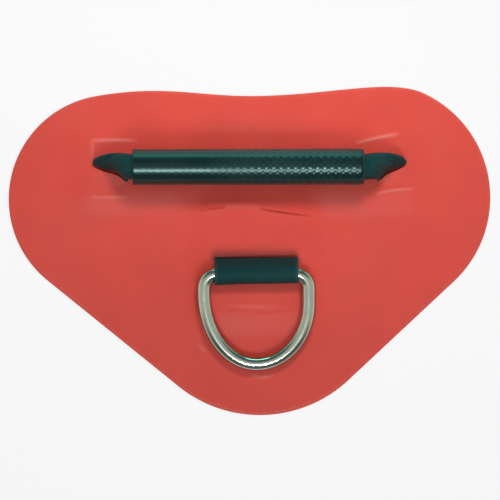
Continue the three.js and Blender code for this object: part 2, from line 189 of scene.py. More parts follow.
# The outline's top edge: where it leaves the two upper corners and how hard it is pulled there.
LEFT_DROP = 65 * MM
RIGHT_DROP = 64 * MM
LEFT_LEAVES = math.radians(100)
RIGHT_LEAVES = math.radians(65)
RIGHT_PULL = 22 * MM
RIGHT_WAIST_PULL = 45 * MM
LEFT_PULL = 40 * MM
LEFT_WAIST_PULL = 30 * MM

# Both layers: the spacing of the outline's points and the pitch of the base cloth's threads.
OUTLINE_STEP = 1.6 * MM
THREAD_PITCH = 1.15 * MM

# The spacing of each layer's points, close and wide, and the rounding of its cut edge.
COVER_FINE = 0.75 * MM
COVER_COARSE = 2.0 * MM
COVER_BEVEL = 0.14 * MM
BACKING_FINE = 0.55 * MM
BACKING_COARSE = 3.0 * MM
BACKING_BEVEL = 0.12 * MM

# How far the close points reach from the cover's folds and slots, from its raised rectangles and
# from the backing's seams.
FINE_BY_FOLDS = 4.5 * MM
FINE_BY_PADS = 5.5 * MM
FINE_BY_SEAMS = 1.5 * MM

# The cover: the height of its underside where it lies flat, the rounding of the rectangles it is
# tented over, the spread of its slope at a slit and the run in which it comes down to its rim.
COVER_LEVEL = 1.04 * MM
PAD_ROUNDING = 2 * MM
SLIT_SLOPE = 4.2 * MM
RIM_SLOPE = 5 * MM

# The cover's painted light: how far the painted shadow reaches above the ring's webbing, and half the
# width of the painted highlight along a fold's crest.
PAINTED_SHADOW_REACH = 4.6 * MM
CREST_HIGHLIGHT_WIDTH = 0.95 * MM

# Each slit of the handle as a Bezier curve of its lower lip, from the tip inwards.
SLITS = {
    -1: np.array([(-91.0, 49.8), (-82.0, 46.0), (-75.5, 48.5), (-71.8, 40.2)]) * MM,
    1: np.array([(91.0, 50.4), (83.0, 47.0), (78.5, 48.5), (75.2, 40.8)]) * MM,
}

# The slits' width, the spacing of their points and how deep their lips are torn.
SLIT_WIDTH = 2.0 * MM
SLIT_STEP = 0.6 * MM
RAG_DEPTH = 0.4 * MM

# The ring's slot: half its width, the spacing of its points, the lift of its upper and its lower
# lip and the spread of both.
SLOT_HALF = 2.2 * MM
SLOT_STEP = 0.8 * MM
SLOT_UPPER_LIFT = -0.35 * MM
SLOT_LOWER_LIFT = 0.6 * MM
SLOT_SLOPE = 4.5 * MM

# Folds of the cover in mm: points along each, its height, its width on its left and its right, and
# how much painted highlight lies along its crest.
FOLDS = [
    ([(-28.0, 23.6), (-22.5, 25.2), (-14.0, 26.0)], 1.9, 2.4, 0.9, 0.0),
    ([(6.0, 25.0), (21.0, 22.8), (36.4, 20.8)], 2.1, 2.4, 0.9, 0.0),
    ([(-22.0, 26.2), (-8.0, 27.0), (6.0, 26.2), (20.0, 24.2)], 0.9, 2.6, 1.8, 0.0),
    ([(-92.5, 64.0), (-80.0, 64.2), (-65.0, 63.7)], 0.7, 1.2, 1.0, 0.7),
    ([(-91.3, 63.5), (-91.0, 58.0), (-91.4, 52.5)], 0.2, 0.9, 0.9, 0.35),
    ([(-92.5, 31.6), (-82.0, 31.2), (-70.5, 31.6)], 0.3, 1.0, 1.0, 0.35),
    ([(61.3, 62.2), (74.0, 65.4), (87.1, 68.2)], 0.9, 1.3, 1.0, 0.8),
    ([(72.9, 33.2), (84.0, 35.2), (95.5, 36.2)], 0.8, 1.3, 1.0, 0.55),
    ([(-14.0, -30.6), (4.0, -31.8), (16.0, -30.9)], 0.2, 1.1, 1.1, 0.15),
    ([(-6.0, -33.4), (12.0, -34.6), (25.0, -33.2)], -0.2, 1.2, 1.2, 0.0),
    ([(0.0, -72.2), (7.0, -72.9), (14.5, -72.0)], 0.25, 0.9, 0.9, 0.5),
    ([(-30.0, -53.0), (-27.6, -56.0), (-24.6, -59.0)], 0.2, 0.9, 0.9, 0.25),
]

# Webbing: the length of one pick, the width of one yarn and how far picks stand up on each strap.
WEBBING_PICK = 1.15 * MM
WEBBING_YARN = 0.95 * MM
HANDLE_RELIEF = 0.07 * MM
RING_RELIEF = 0.05 * MM

# The strap: its level between the layers, where it leaves its slit, half its curl's turn in radians
# and the spacing of its rows.
TAIL_LEVEL = 2.1 * MM
LIP_TOP = 5.5 * MM
CURL = 1.88
ROW_FINE = 0.24 * MM

# The sleeve: where its braid starts to grow from faint to full and over what length, the share of
# its depth where it is faint, and how far its right end stands towards +Y.
BRAID_FADE_START = -50 * MM
BRAID_FADE_RUN = 85 * MM
BRAID_FAINT = 0.2
SLEEVE_BEND = 0.15 * MM

# The sleeve's mesh: the spacing of its rings, the depth of the skin that the braid is pressed into,
# the plain end and the run in which the braid starts beside it, and the rounding of its bore.
SLEEVE_STEP = 0.42 * MM
BRAID_SKIN = 0.7 * MM
PLAIN_END = 1.5 * MM
PLAIN_RUN = 3 * MM
BORE_ROUNDING = 0.35 * MM

# The ring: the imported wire, its middle line's reach from the bar, its shift along the bar and the
# spacing of its sections.
PACKED_WIRE = 8.2 * MM
RING_REACH = 52.3 * MM
RING_SHIFT = 0.5 * MM
RING_STEP = 0.9 * MM

# The ring's loop: how much it slants across the patch, how far its feet go down into the slot, how
# much its edges flare and its face sways, and how far it stays under its packed top.
LOOP_TILT = 0.026
LOOP_FOOT = 4.4 * MM
LOOP_FLARE = 0.35 * MM
LOOP_SWAY = 0.12 * MM
LOOP_EASE = 0.4 * MM


# ---------------------------------------------------------------- numbers and curves

def smooth(t):
    """From 0 to 1 with level ends."""
    t = np.clip(t, 0, 1)
    return t * t * (3 - 2 * t)


def unit(vectors):
    """Vectors of length one."""
    return vectors / np.maximum(np.linalg.norm(vectors, axis=-1, keepdims=True), 1e-12)


def bezier(control, t):
    """Points on a cubic Bezier curve."""
    t = np.asarray(t)[:, None]
    s = 1 - t
    a, b, c, d = control
    return s ** 3 * a + 3 * s * s * t * b + 3 * s * t * t * c + t ** 3 * d


def hermite(start, start_pull, end, end_pull, t):
    """Points on the curve that leaves start along start_pull and reaches end along end_pull."""
    t2 = t * t
    t3 = t2 * t
    return ((2 * t3 - 3 * t2 + 1) * start + (t3 - 2 * t2 + t) * start_pull
            + (3 * t2 - 2 * t3) * end + (t3 - t2) * end_pull)


def travelled(path):
    """The distance from a path's first point to each of its points."""
    steps = np.linalg.norm(np.diff(path, axis=0), axis=1)
    return np.concatenate([[0], np.cumsum(steps)])


def spaced(path, step):
    """The path again, with points about step apart."""
    along = travelled(path)
    at = np.linspace(0, along[-1], max(2, round(along[-1] / step) + 1))
    return np.stack([np.interp(at, along, path[:, k]) for k in range(path.shape[1])], axis=1)


def curve_through(points, step):
    """A smooth curve through a few points."""
    points = np.asarray(points, float)
    pulls = np.gradient(points, axis=0)
    t = np.linspace(0, 1, 12)[:, None]
    pieces = [hermite(points[i], pulls[i], points[i + 1], pulls[i + 1], t)
              for i in range(len(points) - 1)]
    return spaced(np.concatenate(pieces), step)


def fold_line(points):
    """The smooth line of a fold, from its points in mm."""
    return curve_through(np.array(points) * MM, 1 * MM)


def closed(loop):
    """A loop with its first point again at its end."""
    return np.vstack([loop, loop[:1]])


def nearest_on(points, path):
    """How far each point is from a path, the share of the path at the nearest place and its side."""
    best = np.full(len(points), np.inf)
    at = np.zeros(len(points))
    side = np.zeros(len(points))
    along = travelled(path)
    for start, a, b in zip(along, path, path[1:]):
        step = b - a
        size = np.hypot(*step)
        if size == 0:
            continue
        t = np.clip((points - a) @ step / size ** 2, 0, 1)
        away = points - a - t[:, None] * step
        far = np.hypot(away[:, 0], away[:, 1])
        closer = far < best
        best = np.where(closer, far, best)
        at = np.where(closer, (start + t * size) / along[-1], at)
        turn = step[0] * away[:, 1] - step[1] * away[:, 0]
        side = np.where(closer, np.sign(turn), side)
    return best, at, side


def inside(points, loop):
    """Whether each point lies inside a closed loop."""
    x, y = points.T
    odd = np.zeros(len(points), bool)
    for (x0, y0), (x1, y1) in zip(loop, np.roll(loop, -1, axis=0)):
        spans = (y0 > y) != (y1 > y)
        if y1 != y0:
            odd ^= spans & (x < (x1 - x0) * (y - y0) / (y1 - y0) + x0)
    return odd


# ---------------------------------------------------------------- meshes

def mesh_object(name, points, faces, material, sharp, uv=None, marks=None):
    """A closed mesh as an object. uv is a pair and marks are named values for each point."""
    points = np.asarray(points, float)
    triangles = [(f[0], f[i], f[i + 1]) for f in faces for i in range(1, len(f) - 1)]
    a, b, c = (points[[t[k] for t in triangles]] for k in range(3))
    if np.einsum("ij,ij->", a, np.cross(b, c)) < 0:
        faces = [tuple(reversed(f)) for f in faces]
    mesh = bpy.data.meshes.new(name)
    mesh.from_pydata(points.tolist(), [], [tuple(int(i) for i in f) for f in faces])
    mesh.shade_smooth()
    mesh.set_sharp_from_angle(angle=math.radians(sharp))
    corner_points = np.zeros(len(mesh.loops), int)
    mesh.loops.foreach_get("vertex_index", corner_points)
    if uv is not None:
        layer = mesh.uv_layers.new(name="Along and across")
        layer.data.foreach_set("uv", np.asarray(uv, np.float32)[corner_points].ravel())
    for label, values in (marks or {}).items():
        attribute = mesh.attributes.new(label, "FLOAT", "POINT")
        attribute.data.foreach_set("value", np.asarray(values, np.float32).ravel())
    mesh.materials.append(material)
    mesh.validate()
    obj = bpy.data.objects.new(name, mesh)
    bpy.context.scene.collection.objects.link(obj)
    return obj


def scattered(outline, holes, busy, fine, coarse):
    """Points inside an outline and outside its holes, closer together where busy says so."""
    kept = []
    for step, wanted in ((fine, True), (coarse, False)):
        low, high = outline.min(0), outline.max(0)
        rows = np.arange(low[1], high[1], step * 0.866)
        columns = np.arange(low[0], high[0], step)
        x, y = np.meshgrid(columns, rows)
        x = x + (np.arange(len(rows)) % 2)[:, None] * step / 2
        points = np.stack([x.ravel(), y.ravel()], axis=1)
        points = points[busy(points) == wanted]
        points = points[inside(points, outline)]
        points = points[nearest_on(points, closed(outline))[0] > 0.6 * step]
        for hole in holes:
            points = points[~inside(points, hole)]
            points = points[nearest_on(points, closed(hole))[0] > 0.45 * fine]
        kept.append(points)
    return np.concatenate(kept)


def flat_triangles(outline, holes, filling):
    """Triangles between an outline, its holes and the points in between."""
    loops = [outline, *holes]
    points = np.concatenate([*loops, filling]) / MM
    edges = []
    start = 0
    for loop in loops:
        count = len(loop)
        edges += [(start + i, start + (i + 1) % count) for i in range(count)]
        start += count
    flat, _, faces, *_ = geometry.delaunay_2d_cdt(
        [Vector(p) for p in points.tolist()], edges, [], 0, 1e-5, False)
    flat = np.array([tuple(p) for p in flat]) * MM
    faces = np.array(faces)
    centres = flat[faces].mean(axis=1)
    keep = inside(centres, outline)
    for hole in holes:
        keep &= ~inside(centres, hole)
    return flat, faces[keep]


def flat_area(flat, faces):
    """The area of a flat mesh."""
    return float(sum(abs(np.cross(flat[b] - flat[a], flat[c] - flat[a])) / 2 for a, b, c in faces))


def rim_of(flat, faces):
    """The directed edges that only one triangle uses, and each rim point's way out."""
    directed = {(a, b) for f in faces for a, b in ((f[0], f[1]), (f[1], f[2]), (f[2], f[0]))}
    rim = [(a, b) for a, b in directed if (b, a) not in directed]
    out = np.zeros_like(flat)
    for a, b in rim:
        step = flat[b] - flat[a]
        way = np.array([step[1], -step[0]]) / max(np.hypot(*step), 1e-12)
        out[a] += way
        out[b] += way
    return rim, unit(out)


def cloth_layer(name, flat, faces, under, over, bevel, material, marks=None):
    """A closed layer of cloth between two heights, with its cut edges slightly rounded."""
    faces = [tuple(f) for f in faces]
    turned = sum(np.cross(flat[b] - flat[a], flat[c] - flat[a]) for a, b, c in faces[:50])
    if turned < 0:
        faces = [f[::-1] for f in faces]
    rim, out = rim_of(flat, faces)
    on_rim = sorted({i for edge in rim for i in edge})
    count = len(flat)
    top = np.column_stack([flat, over])
    base = np.column_stack([flat, under])
    grown = flat[on_rim] + out[on_rim] * bevel
    upper = np.column_stack([grown, over[on_rim] - bevel])
    lower = np.column_stack([grown, under[on_rim] + bevel])
    place = {i: k for k, i in enumerate(on_rim)}
    points = np.concatenate([top, base, upper, lower])
    wall = [
        lambda i: i,
        lambda i: 2 * count + place[i],
        lambda i: 2 * count + len(on_rim) + place[i],
        lambda i: count + i,
    ]
    made = list(faces) + [tuple(count + i for i in f[::-1]) for f in faces]
    for a, b in rim:
        for near, far in zip(wall, wall[1:]):
            made.append((near(a), far(a), far(b), near(b)))
    edge = np.zeros(len(points))
    edge[on_rim] = 1
    edge[2 * count:] = 1
    full = {"cut_edge": edge}
    for label, values in (marks or {}).items():
        full[label] = np.concatenate([values, values, values[on_rim], values[on_rim]])
    return mesh_object(name, points, made, material, sharp=50, marks=full)


def band(name, rows, thickness, width, material, relief=None):
    """A strap with selvedges from a grid of middle points: rows run along it, columns across."""
    rows = np.asarray(rows, float)
    count, wide = rows.shape[:2]
    normal = unit(np.cross(np.gradient(rows, axis=0), np.gradient(rows, axis=1)))
    along = travelled(rows[:, wide // 2])[:, None] * np.ones((1, wide))
    share_across = np.linspace(-1, 1, wide)[None, :] * np.ones((count, 1))
    across = share_across * width / 2
    half = thickness / 2 * (0.5 + 0.5 * np.sqrt(1 - np.abs(share_across) ** 10))
    if relief is not None:
        half = half + relief(along)
    upper = rows + normal * half[..., None]
    lower = rows - normal * half[..., None]
    points = np.concatenate([upper, lower[:, ::-1]], axis=1).reshape(-1, 3)
    ring = 2 * wide
    faces = []
    for i in range(count - 1):
        for j in range(ring):
            k = (j + 1) % ring
            faces.append((i * ring + j, i * ring + k, (i + 1) * ring + k, (i + 1) * ring + j))
    last = (count - 1) * ring
    for j in range(wide - 1):
        mate = ring - 1 - j
        faces.append((j + 1, j, mate, mate - 1))
        faces.append((last + j, last + j + 1, last + mate - 1, last + mate))
    uv = np.stack([along, across], axis=-1)
    uv = np.concatenate([uv, uv[:, ::-1]], axis=1).reshape(-1, 2)
    edge = np.concatenate([np.abs(share_across), np.abs(share_across)], axis=1).ravel()
    return mesh_object(name, points, faces, material, sharp=60, uv=uv, marks={"selvedge": edge})


def hoop(name, rings, material, sharp, uv=None, marks=None):
    """A closed surface from rings of points, each joined to the next and the last to the first."""
    rings = np.asarray(rings, float)
    count, around = rings.shape[:2]
    faces = []
    for i in range(count):
        here = i * around
        after = (i + 1) % count * around
        for j in range(around):
            k = (j + 1) % around
            faces.append((here + j, here + k, after + k, after + j))
    return mesh_object(name, rings.reshape(-1, 3), faces, material, sharp=sharp, uv=uv, marks=marks)


# ---------------------------------------------------------------- materials

class Nodes:
    """A node tree that is being filled."""

    def __init__(self, tree):
        self.tree = tree

    def feed(self, socket, value):
        """Joins another node's output to a socket, or sets its value."""
        if isinstance(value, bpy.types.NodeSocket):
            self.tree.links.new(value, socket)
        else:
            socket.default_value = value

    def add(self, kind, inputs=None, **settings):
        """A new node with its inputs and settings."""
        node = self.tree.nodes.new(kind)
        for name, value in settings.items():
            setattr(node, name, value)
        for name, value in (inputs or {}).items():
            self.feed(node.inputs[name], value)
        return node

    def math(self, operation, *values):
        """The result of a Math node."""
        node = self.add("ShaderNodeMath", operation=operation)
        for socket, value in zip(node.inputs, values):
            self.feed(socket, value)
        return node.outputs[0]

    def blend(self, factor, first, second):
        """Two colours mixed by a factor."""
        node = self.add("ShaderNodeMix", data_type="RGBA")
        for index, value in ((0, factor), (6, first), (7, second)):
            self.feed(node.inputs[index], value)
        return node.outputs[2]

    def remap(self, value, low, high, to_low, to_high):
        """A value brought from one range to another, and kept in it."""
        node = self.add("ShaderNodeMapRange", {
            "Value": value, "From Min": low, "From Max": high, "To Min": to_low, "To Max": to_high})
        return node.outputs[0]

    def noise(self, vector, scale, detail=2, roughness=0.5):
        """Soft noise about 0.5."""
        node = self.add("ShaderNodeTexNoise", {
            "Vector": vector, "Scale": scale, "Detail": detail, "Roughness": roughness})
        return node.outputs[0]

    def stretched(self, vector, scale):
        """A vector scaled along its three axes."""
        node = self.add("ShaderNodeMapping", {"Vector": vector, "Scale": scale})
        return node.outputs[0]

    def bump(self, height, distance, strength, under=None):
        """A normal from a height, over another normal where under is given."""
        node = self.add("ShaderNodeBump", {
            "Height": height, "Distance": distance, "Strength": strength})
        if under is not None:
            self.feed(node.inputs["Normal"], under)
        return node.outputs[0]


def node_group(name, inputs, outputs, fill):
    """A shader node group, built once: fill joins its inputs to its outputs."""
    made = bpy.data.node_groups.get(name)
    if made is not None:
        return made
    made = bpy.data.node_groups.new(name, "ShaderNodeTree")
    for label, kind in inputs:
        made.interface.new_socket(label, in_out="INPUT", socket_type=kind)
    for label, kind in outputs:
        made.interface.new_socket(label, in_out="OUTPUT", socket_type=kind)
    nodes = Nodes(made)
    start = nodes.add("NodeGroupInput")
    end = nodes.add("NodeGroupOutput")
    for label, value in fill(nodes, start.outputs).items():
        nodes.feed(end.inputs[label], value)
    return made


FLOAT, VECTOR = "NodeSocketFloat", "NodeSocketVector"


def grain_group():
    """Fine pebbled grain of a coating or a moulding, with a slow mottle."""
    def fill(nodes, given):
        fine = nodes.noise(given["Vector"], given["Scale"], 3, 0.6)
        slow = nodes.noise(given["Vector"], nodes.math("MULTIPLY", given["Scale"], 0.02), 2)
        return {"Height": fine, "Mottle": slow}
    return node_group("Grain", [("Vector", VECTOR), ("Scale", FLOAT)],
                      [("Height", FLOAT), ("Mottle", FLOAT)], fill)


def cloth_group():
    """The threads of a base cloth showing through its coating."""
    def fill(nodes, given):
        parts = nodes.add("ShaderNodeSeparateXYZ", {"Vector": given["Vector"]}).outputs
        turn = nodes.math("DIVIDE", TURN, given["Pitch"])
        warp = nodes.math("SINE", nodes.math("MULTIPLY", parts["X"], turn))
        weft = nodes.math("SINE", nodes.math("MULTIPLY", parts["Y"], turn))
        woven = nodes.math("MULTIPLY", warp, weft)
        uneven = nodes.noise(given["Vector"], 260, 2)
        return {"Height": nodes.math("MULTIPLY", woven, uneven)}
    return node_group("Cloth threads", [("Vector", VECTOR), ("Pitch", FLOAT)],
                      [("Height", FLOAT)], fill)


def scuff_group():
    """Short scratches and rubbed spots."""
    def fill(nodes, given):
        long_way = nodes.stretched(given["Vector"], (1.0, 0.08, 1.0))
        other_way = nodes.stretched(given["Vector"], (0.07, 1.0, 0.6))
        first = nodes.noise(long_way, given["Scale"], 4, 0.7)
        second = nodes.noise(other_way, given["Scale"], 4, 0.7)
        lines = nodes.math("MAXIMUM", first, second)
        start = nodes.math("SUBTRACT", 0.78, nodes.math("MULTIPLY", given["Amount"], 0.2))
        mask = nodes.remap(lines, start, 0.86, 0.0, 1.0)
        return {"Mask": mask}
    return node_group("Scuffs", [("Vector", VECTOR), ("Scale", FLOAT), ("Amount", FLOAT)],
                      [("Mask", FLOAT)], fill)


def dust_group():
    """Pale specks and a faint bloom."""
    def fill(nodes, given):
        specks = nodes.remap(nodes.noise(given["Vector"], given["Scale"], 1), 0.7, 0.76, 0.0, 1.0)
        bloom = nodes.remap(nodes.noise(given["Vector"], 22, 3), 0.45, 0.75, 0.0, 0.5)
        return {"Mask": nodes.math("MULTIPLY", nodes.math("ADD", specks, bloom), given["Amount"])}
    return node_group("Dust", [("Vector", VECTOR), ("Scale", FLOAT), ("Amount", FLOAT)],
                      [("Mask", FLOAT)], fill)


def weave_group():
    """Staggered yarns of webbing, from its along and across lengths."""
    def fill(nodes, given):
        parts = nodes.add("ShaderNodeSeparateXYZ", {"Vector": given["Vector"]}).outputs
        ends = nodes.math("DIVIDE", parts["Y"], given["Yarn"])
        stagger = nodes.math("MULTIPLY", nodes.math("FLOOR", ends), 0.5)
        picks = nodes.math("ADD", nodes.math("DIVIDE", parts["X"], given["Pick"]), stagger)
        over = nodes.math("ABSOLUTE", nodes.math("SINE", nodes.math("MULTIPLY", picks, math.pi)))
        wide = nodes.math("ABSOLUTE", nodes.math("SINE", nodes.math("MULTIPLY", ends, math.pi)))
        yarn = nodes.math("MULTIPLY", nodes.math("SQRT", over), nodes.math("SQRT", wide))
        fibres = nodes.noise(nodes.stretched(given["Vector"], (1.0, 12.0, 1.0)), 900, 2)
        height = nodes.math("ADD", yarn, nodes.math("MULTIPLY", fibres, 0.25))
        return {"Height": height, "Yarn": yarn}
    return node_group("Webbing weave", [("Vector", VECTOR), ("Pick", FLOAT), ("Yarn", FLOAT)],
                      [("Height", FLOAT), ("Yarn", FLOAT)], fill)


def new_material(name, **constants):
    """A material with one Principled shader, and its nodes."""
    material = bpy.data.materials.new(name)
    material.use_nodes = True
    nodes = Nodes(material.node_tree)
    shader = material.node_tree.nodes["Principled BSDF"]
    for label, value in constants.items():
        shader.inputs[label.replace("_", " ")].default_value = value
    return material, nodes, shader.inputs


def group_node(nodes, group, **inputs):
    """The outputs of a group that is placed in a material."""
    return nodes.add("ShaderNodeGroup", inputs, node_tree=group).outputs


def rgba(colour, gain=1.0):
    """A colour with its alpha, made lighter or darker by gain."""
    return (*[min(1.0, c * gain) for c in colour[:3]], 1.0)


def coated_fabric(name, sizes, matt):
    """Rubber-coated cloth: satin face, base cloth showing through, pale cut edges, painted highlights
    and a painted shadow.
    """
    material, nodes, shader = new_material(name, Specular_IOR_Level=0.13)
    place = nodes.add("ShaderNodeTexCoord").outputs["Object"]
    grain = group_node(nodes, grain_group(), Vector=place, Scale=1500.0)
    cloth = group_node(nodes, cloth_group(), Vector=place, Pitch=THREAD_PITCH)
    scuffs = group_node(nodes, scuff_group(), Vector=place, Scale=90.0, Amount=sizes.wear)
    dust = group_node(nodes, dust_group(), Vector=place, Scale=420.0, Amount=0.03)
    edge = nodes.add("ShaderNodeAttribute", attribute_name="cut_edge").outputs["Fac"]
    crest_highlight = nodes.add("ShaderNodeAttribute", attribute_name="crest_highlight").outputs["Fac"]
    painted_shadow = nodes.add("ShaderNodeAttribute", attribute_name="painted_shadow").outputs["Fac"]
    colour = nodes.blend(nodes.remap(grain["Mottle"], 0.3, 0.7, 0.0, 1.0),
                         rgba(sizes.colour, 0.95), rgba(sizes.colour, 1.05))
    layers = (
        (nodes.math("MULTIPLY", scuffs["Mask"], 0.25), "E88A80"),
        (dust["Mask"], "EBB0A8"),
        (nodes.math("MULTIPLY", edge, 0.3), "D9695F"),
        # painted highlight: pale lines along the fold crests
        (nodes.math("MULTIPLY", crest_highlight, 0.5), "EBA097"),
        # painted shadow: the dark band on the cover beside the ring's webbing
        (nodes.math("MULTIPLY", painted_shadow, 0.72), "4C0F0B"),
    )
    for mask, code in layers:
        colour = nodes.blend(mask, colour, rgba(from_hex(code)))
    nodes.feed(shader["Base Color"], colour)
    gloss = nodes.math("ADD", nodes.remap(grain["Mottle"], 0.3, 0.7, matt - 0.04, matt + 0.05),
                       nodes.math("MULTIPLY", scuffs["Mask"], 0.15))
    nodes.feed(shader["Roughness"], gloss)
    rough = nodes.bump(cloth["Height"], 0.05 * MM, 0.5)
    nodes.feed(shader["Normal"], nodes.bump(grain["Height"], 0.03 * MM, 0.6, rough))
    return material


def webbing_material(name, colour):
    """Woven nylon strap, with painted shade between its yarns and painted highlight on them."""
    material, nodes, shader = new_material(
        name, Sheen_Weight=0.06, Sheen_Roughness=0.4, Sheen_Tint=rgba(from_hex("6FA3A0")),
        Specular_IOR_Level=0.3, Specular_Tint=rgba(from_hex("A8E0DC")))
    uv = nodes.add("ShaderNodeUVMap", uv_map="Along and across").outputs[0]
    place = nodes.add("ShaderNodeTexCoord").outputs["Object"]
    weave = group_node(nodes, weave_group(), Vector=uv, Pick=WEBBING_PICK, Yarn=WEBBING_YARN)
    dust = group_node(nodes, dust_group(), Vector=place, Scale=500.0, Amount=0.1)
    edge = nodes.add("ShaderNodeAttribute", attribute_name="selvedge").outputs["Fac"]
    # painted shade between the yarns and painted highlight on their crowns
    yarns = nodes.blend(weave["Yarn"], rgba(colour, 0.35), rgba(colour, 1.5))
    selvedge = nodes.math("MULTIPLY", nodes.remap(edge, 0.9, 1.0, 0.0, 1.0), 0.35)
    rubbed = nodes.blend(selvedge, yarns, rgba(from_hex("42605F")))
    nodes.feed(shader["Base Color"], nodes.blend(dust["Mask"], rubbed, rgba(from_hex("6E8482"))))
    nodes.feed(shader["Roughness"], nodes.remap(weave["Yarn"], 0.0, 1.0, 0.85, 0.52))
    nodes.feed(shader["Normal"], nodes.bump(weave["Height"], 0.22 * MM, 0.8))
    return material


def rubber_material(name, colour):
    """Moulded rubber with a fine skin and rubbed spots, with painted highlight on the braid's raised
    strands and painted shade between them.
    """
    material, nodes, shader = new_material(
        name, Specular_IOR_Level=0.42, Specular_Tint=rgba(from_hex("BCF2EE")),
        Sheen_Weight=0.09, Sheen_Roughness=0.5, Sheen_Tint=rgba(from_hex("7CF0DC")))
    place = nodes.add("ShaderNodeTexCoord").outputs["Object"]
    grain = group_node(nodes, grain_group(), Vector=place, Scale=1800.0)
    scuffs = group_node(nodes, scuff_group(), Vector=place, Scale=140.0, Amount=0.35)
    dust = group_node(nodes, dust_group(), Vector=place, Scale=600.0, Amount=0.08)
    raised = nodes.add("ShaderNodeAttribute", attribute_name="raised").outputs["Fac"]
    # painted highlight on the braid's raised strands and painted shade between them
    base = nodes.blend(raised, rgba(colour, 0.7), rgba(colour, 1.15))
    rubbed = nodes.blend(nodes.math("MULTIPLY", scuffs["Mask"], 0.2), base, rgba(from_hex("3F5A58")))
    nodes.feed(shader["Base Color"], nodes.blend(dust["Mask"], rubbed, rgba(from_hex("708684"))))
    gloss = nodes.math("ADD", nodes.remap(grain["Mottle"], 0.3, 0.7, 0.26, 0.34),
                       nodes.math("MULTIPLY", scuffs["Mask"], 0.15))
    nodes.feed(shader["Roughness"], gloss)
    nodes.feed(shader["Normal"], nodes.bump(grain["Height"], 0.03 * MM, 0.5))
    return material


def steel_material(name, colour, wear):
    """Polished stainless wire with drawing lines and small scratches."""
    material, nodes, shader = new_material(name, Metallic=1.0)
    uv = nodes.add("ShaderNodeUVMap", uv_map="Along and across").outputs[0]
    place = nodes.add("ShaderNodeTexCoord").outputs["Object"]
    lines = nodes.noise(nodes.stretched(uv, (0.04, 1.0, 1.0)), 2600, 3, 0.6)
    scuffs = group_node(nodes, scuff_group(), Vector=place, Scale=260.0, Amount=wear)
    grain = group_node(nodes, grain_group(), Vector=place, Scale=2600.0)
    nodes.feed(shader["Base Color"], nodes.blend(
        nodes.remap(grain["Mottle"], 0.3, 0.7, 0.0, 1.0), rgba(colour, 0.93), rgba(colour, 1.03)))
    polish = nodes.remap(lines, 0.3, 0.75, 0.1, 0.2)
    scratched = nodes.math("MULTIPLY", scuffs["Mask"], 0.2)
    nodes.feed(shader["Roughness"], nodes.math("ADD", polish, scratched))
    drawn = nodes.bump(lines, 0.012 * MM, 0.35)
    nodes.feed(shader["Normal"], nodes.bump(scuffs["Mask"], 0.03 * MM, 0.3, drawn))
    return material


def thread_material(name, colour):
    """Bonded sewing thread."""
    material, nodes, shader = new_material(name, Sheen_Weight=0.2)
    place = nodes.add("ShaderNodeTexCoord").outputs["Object"]
    grain = group_node(nodes, grain_group(), Vector=place, Scale=3200.0)
    uneven = nodes.blend(grain["Height"], rgba(colour, 0.7), rgba(colour, 1.6))
    nodes.feed(shader["Base Color"], uneven)
    nodes.feed(shader["Roughness"], nodes.remap(grain["Height"], 0.3, 0.7, 0.55, 0.75))
    nodes.feed(shader["Normal"], nodes.bump(grain["Height"], 0.06 * MM, 0.6))
    return material


def floor_material(name, colour):
    """A pale floor, lit evenly, that lets the underside be seen from below."""
    material, nodes, shader = new_material(name, Roughness=0.9, Specular_IOR_Level=0.1)
    place = nodes.add("ShaderNodeTexCoord").outputs["Object"]
    mottle = nodes.noise(place, 3, 1)
    nodes.feed(shader["Base Color"], nodes.blend(mottle, rgba(colour, 0.09), rgba(colour, 0.1)))
    shader["Emission Color"].default_value = rgba(colour)
    shader["Emission Strength"].default_value = 0.94
    clear = nodes.add("ShaderNodeBsdfTransparent").outputs[0]
    behind = nodes.add("ShaderNodeNewGeometry").outputs["Backfacing"]
    solid = material.node_tree.nodes["Principled BSDF"].outputs[0]
    mixed = nodes.add("ShaderNodeMixShader", {0: behind, 1: solid, 2: clear}).outputs[0]
    nodes.feed(material.node_tree.nodes["Material Output"].inputs["Surface"], mixed)
    return material


# ---------------------------------------------------------------- patch

def corner_tangent(a, b):
    """The angle, seen from both centres, of the straight edge that leaves corner a and reaches b."""
    along = math.atan2(b[1] - a[1], b[0] - a[0])
    distance = math.hypot(b[0] - a[0], b[1] - a[1])
    return along - math.acos((a[2] - b[2]) / distance)


def corner_arc(corner, start, end):
    """Points round a corner, counterclockwise from one angle to the other."""
    x, y, radius = corner
    while end < start:
        end += TURN
    turn = np.linspace(start, end, 90)
    return np.stack([x + radius * np.cos(turn), y + radius * np.sin(turn)], axis=1)


def patch_outline(cloth, step):
    """Three round corners, two straight sides and a hollow top, counterclockwise."""
    top = cloth.height / 2
    left = (cloth.left_radius - cloth.width / 2, top - LEFT_DROP, cloth.left_radius)
    right = (cloth.width / 2 - cloth.right_radius, top - RIGHT_DROP, cloth.right_radius)
    nose = (cloth.nose_offset, cloth.nose_radius - cloth.height / 2, cloth.nose_radius)
    lower_left = corner_tangent(left, nose)
    lower_right = corner_tangent(nose, right)
    arcs = [
        corner_arc(left, LEFT_LEAVES, lower_left),
        corner_arc(nose, lower_left, lower_right),
        corner_arc(right, lower_right, RIGHT_LEAVES),
    ]
    waist = np.array([0, top - cloth.waist_drop])
    right_way = np.array([-math.sin(RIGHT_LEAVES), math.cos(RIGHT_LEAVES)])
    left_way = np.array([-math.sin(LEFT_LEAVES), math.cos(LEFT_LEAVES)])
    t = np.linspace(0, 1, 60)
    start, end = arcs[2][-1], arcs[0][0]
    first = bezier([start, start + RIGHT_PULL * right_way, waist + [RIGHT_WAIST_PULL, 0], waist], t)
    second = bezier([waist, waist - [LEFT_WAIST_PULL, 0], end - LEFT_PULL * left_way, end], t)
    loop = spaced(np.concatenate([*arcs, first, second]), step)
    return loop[:-1]


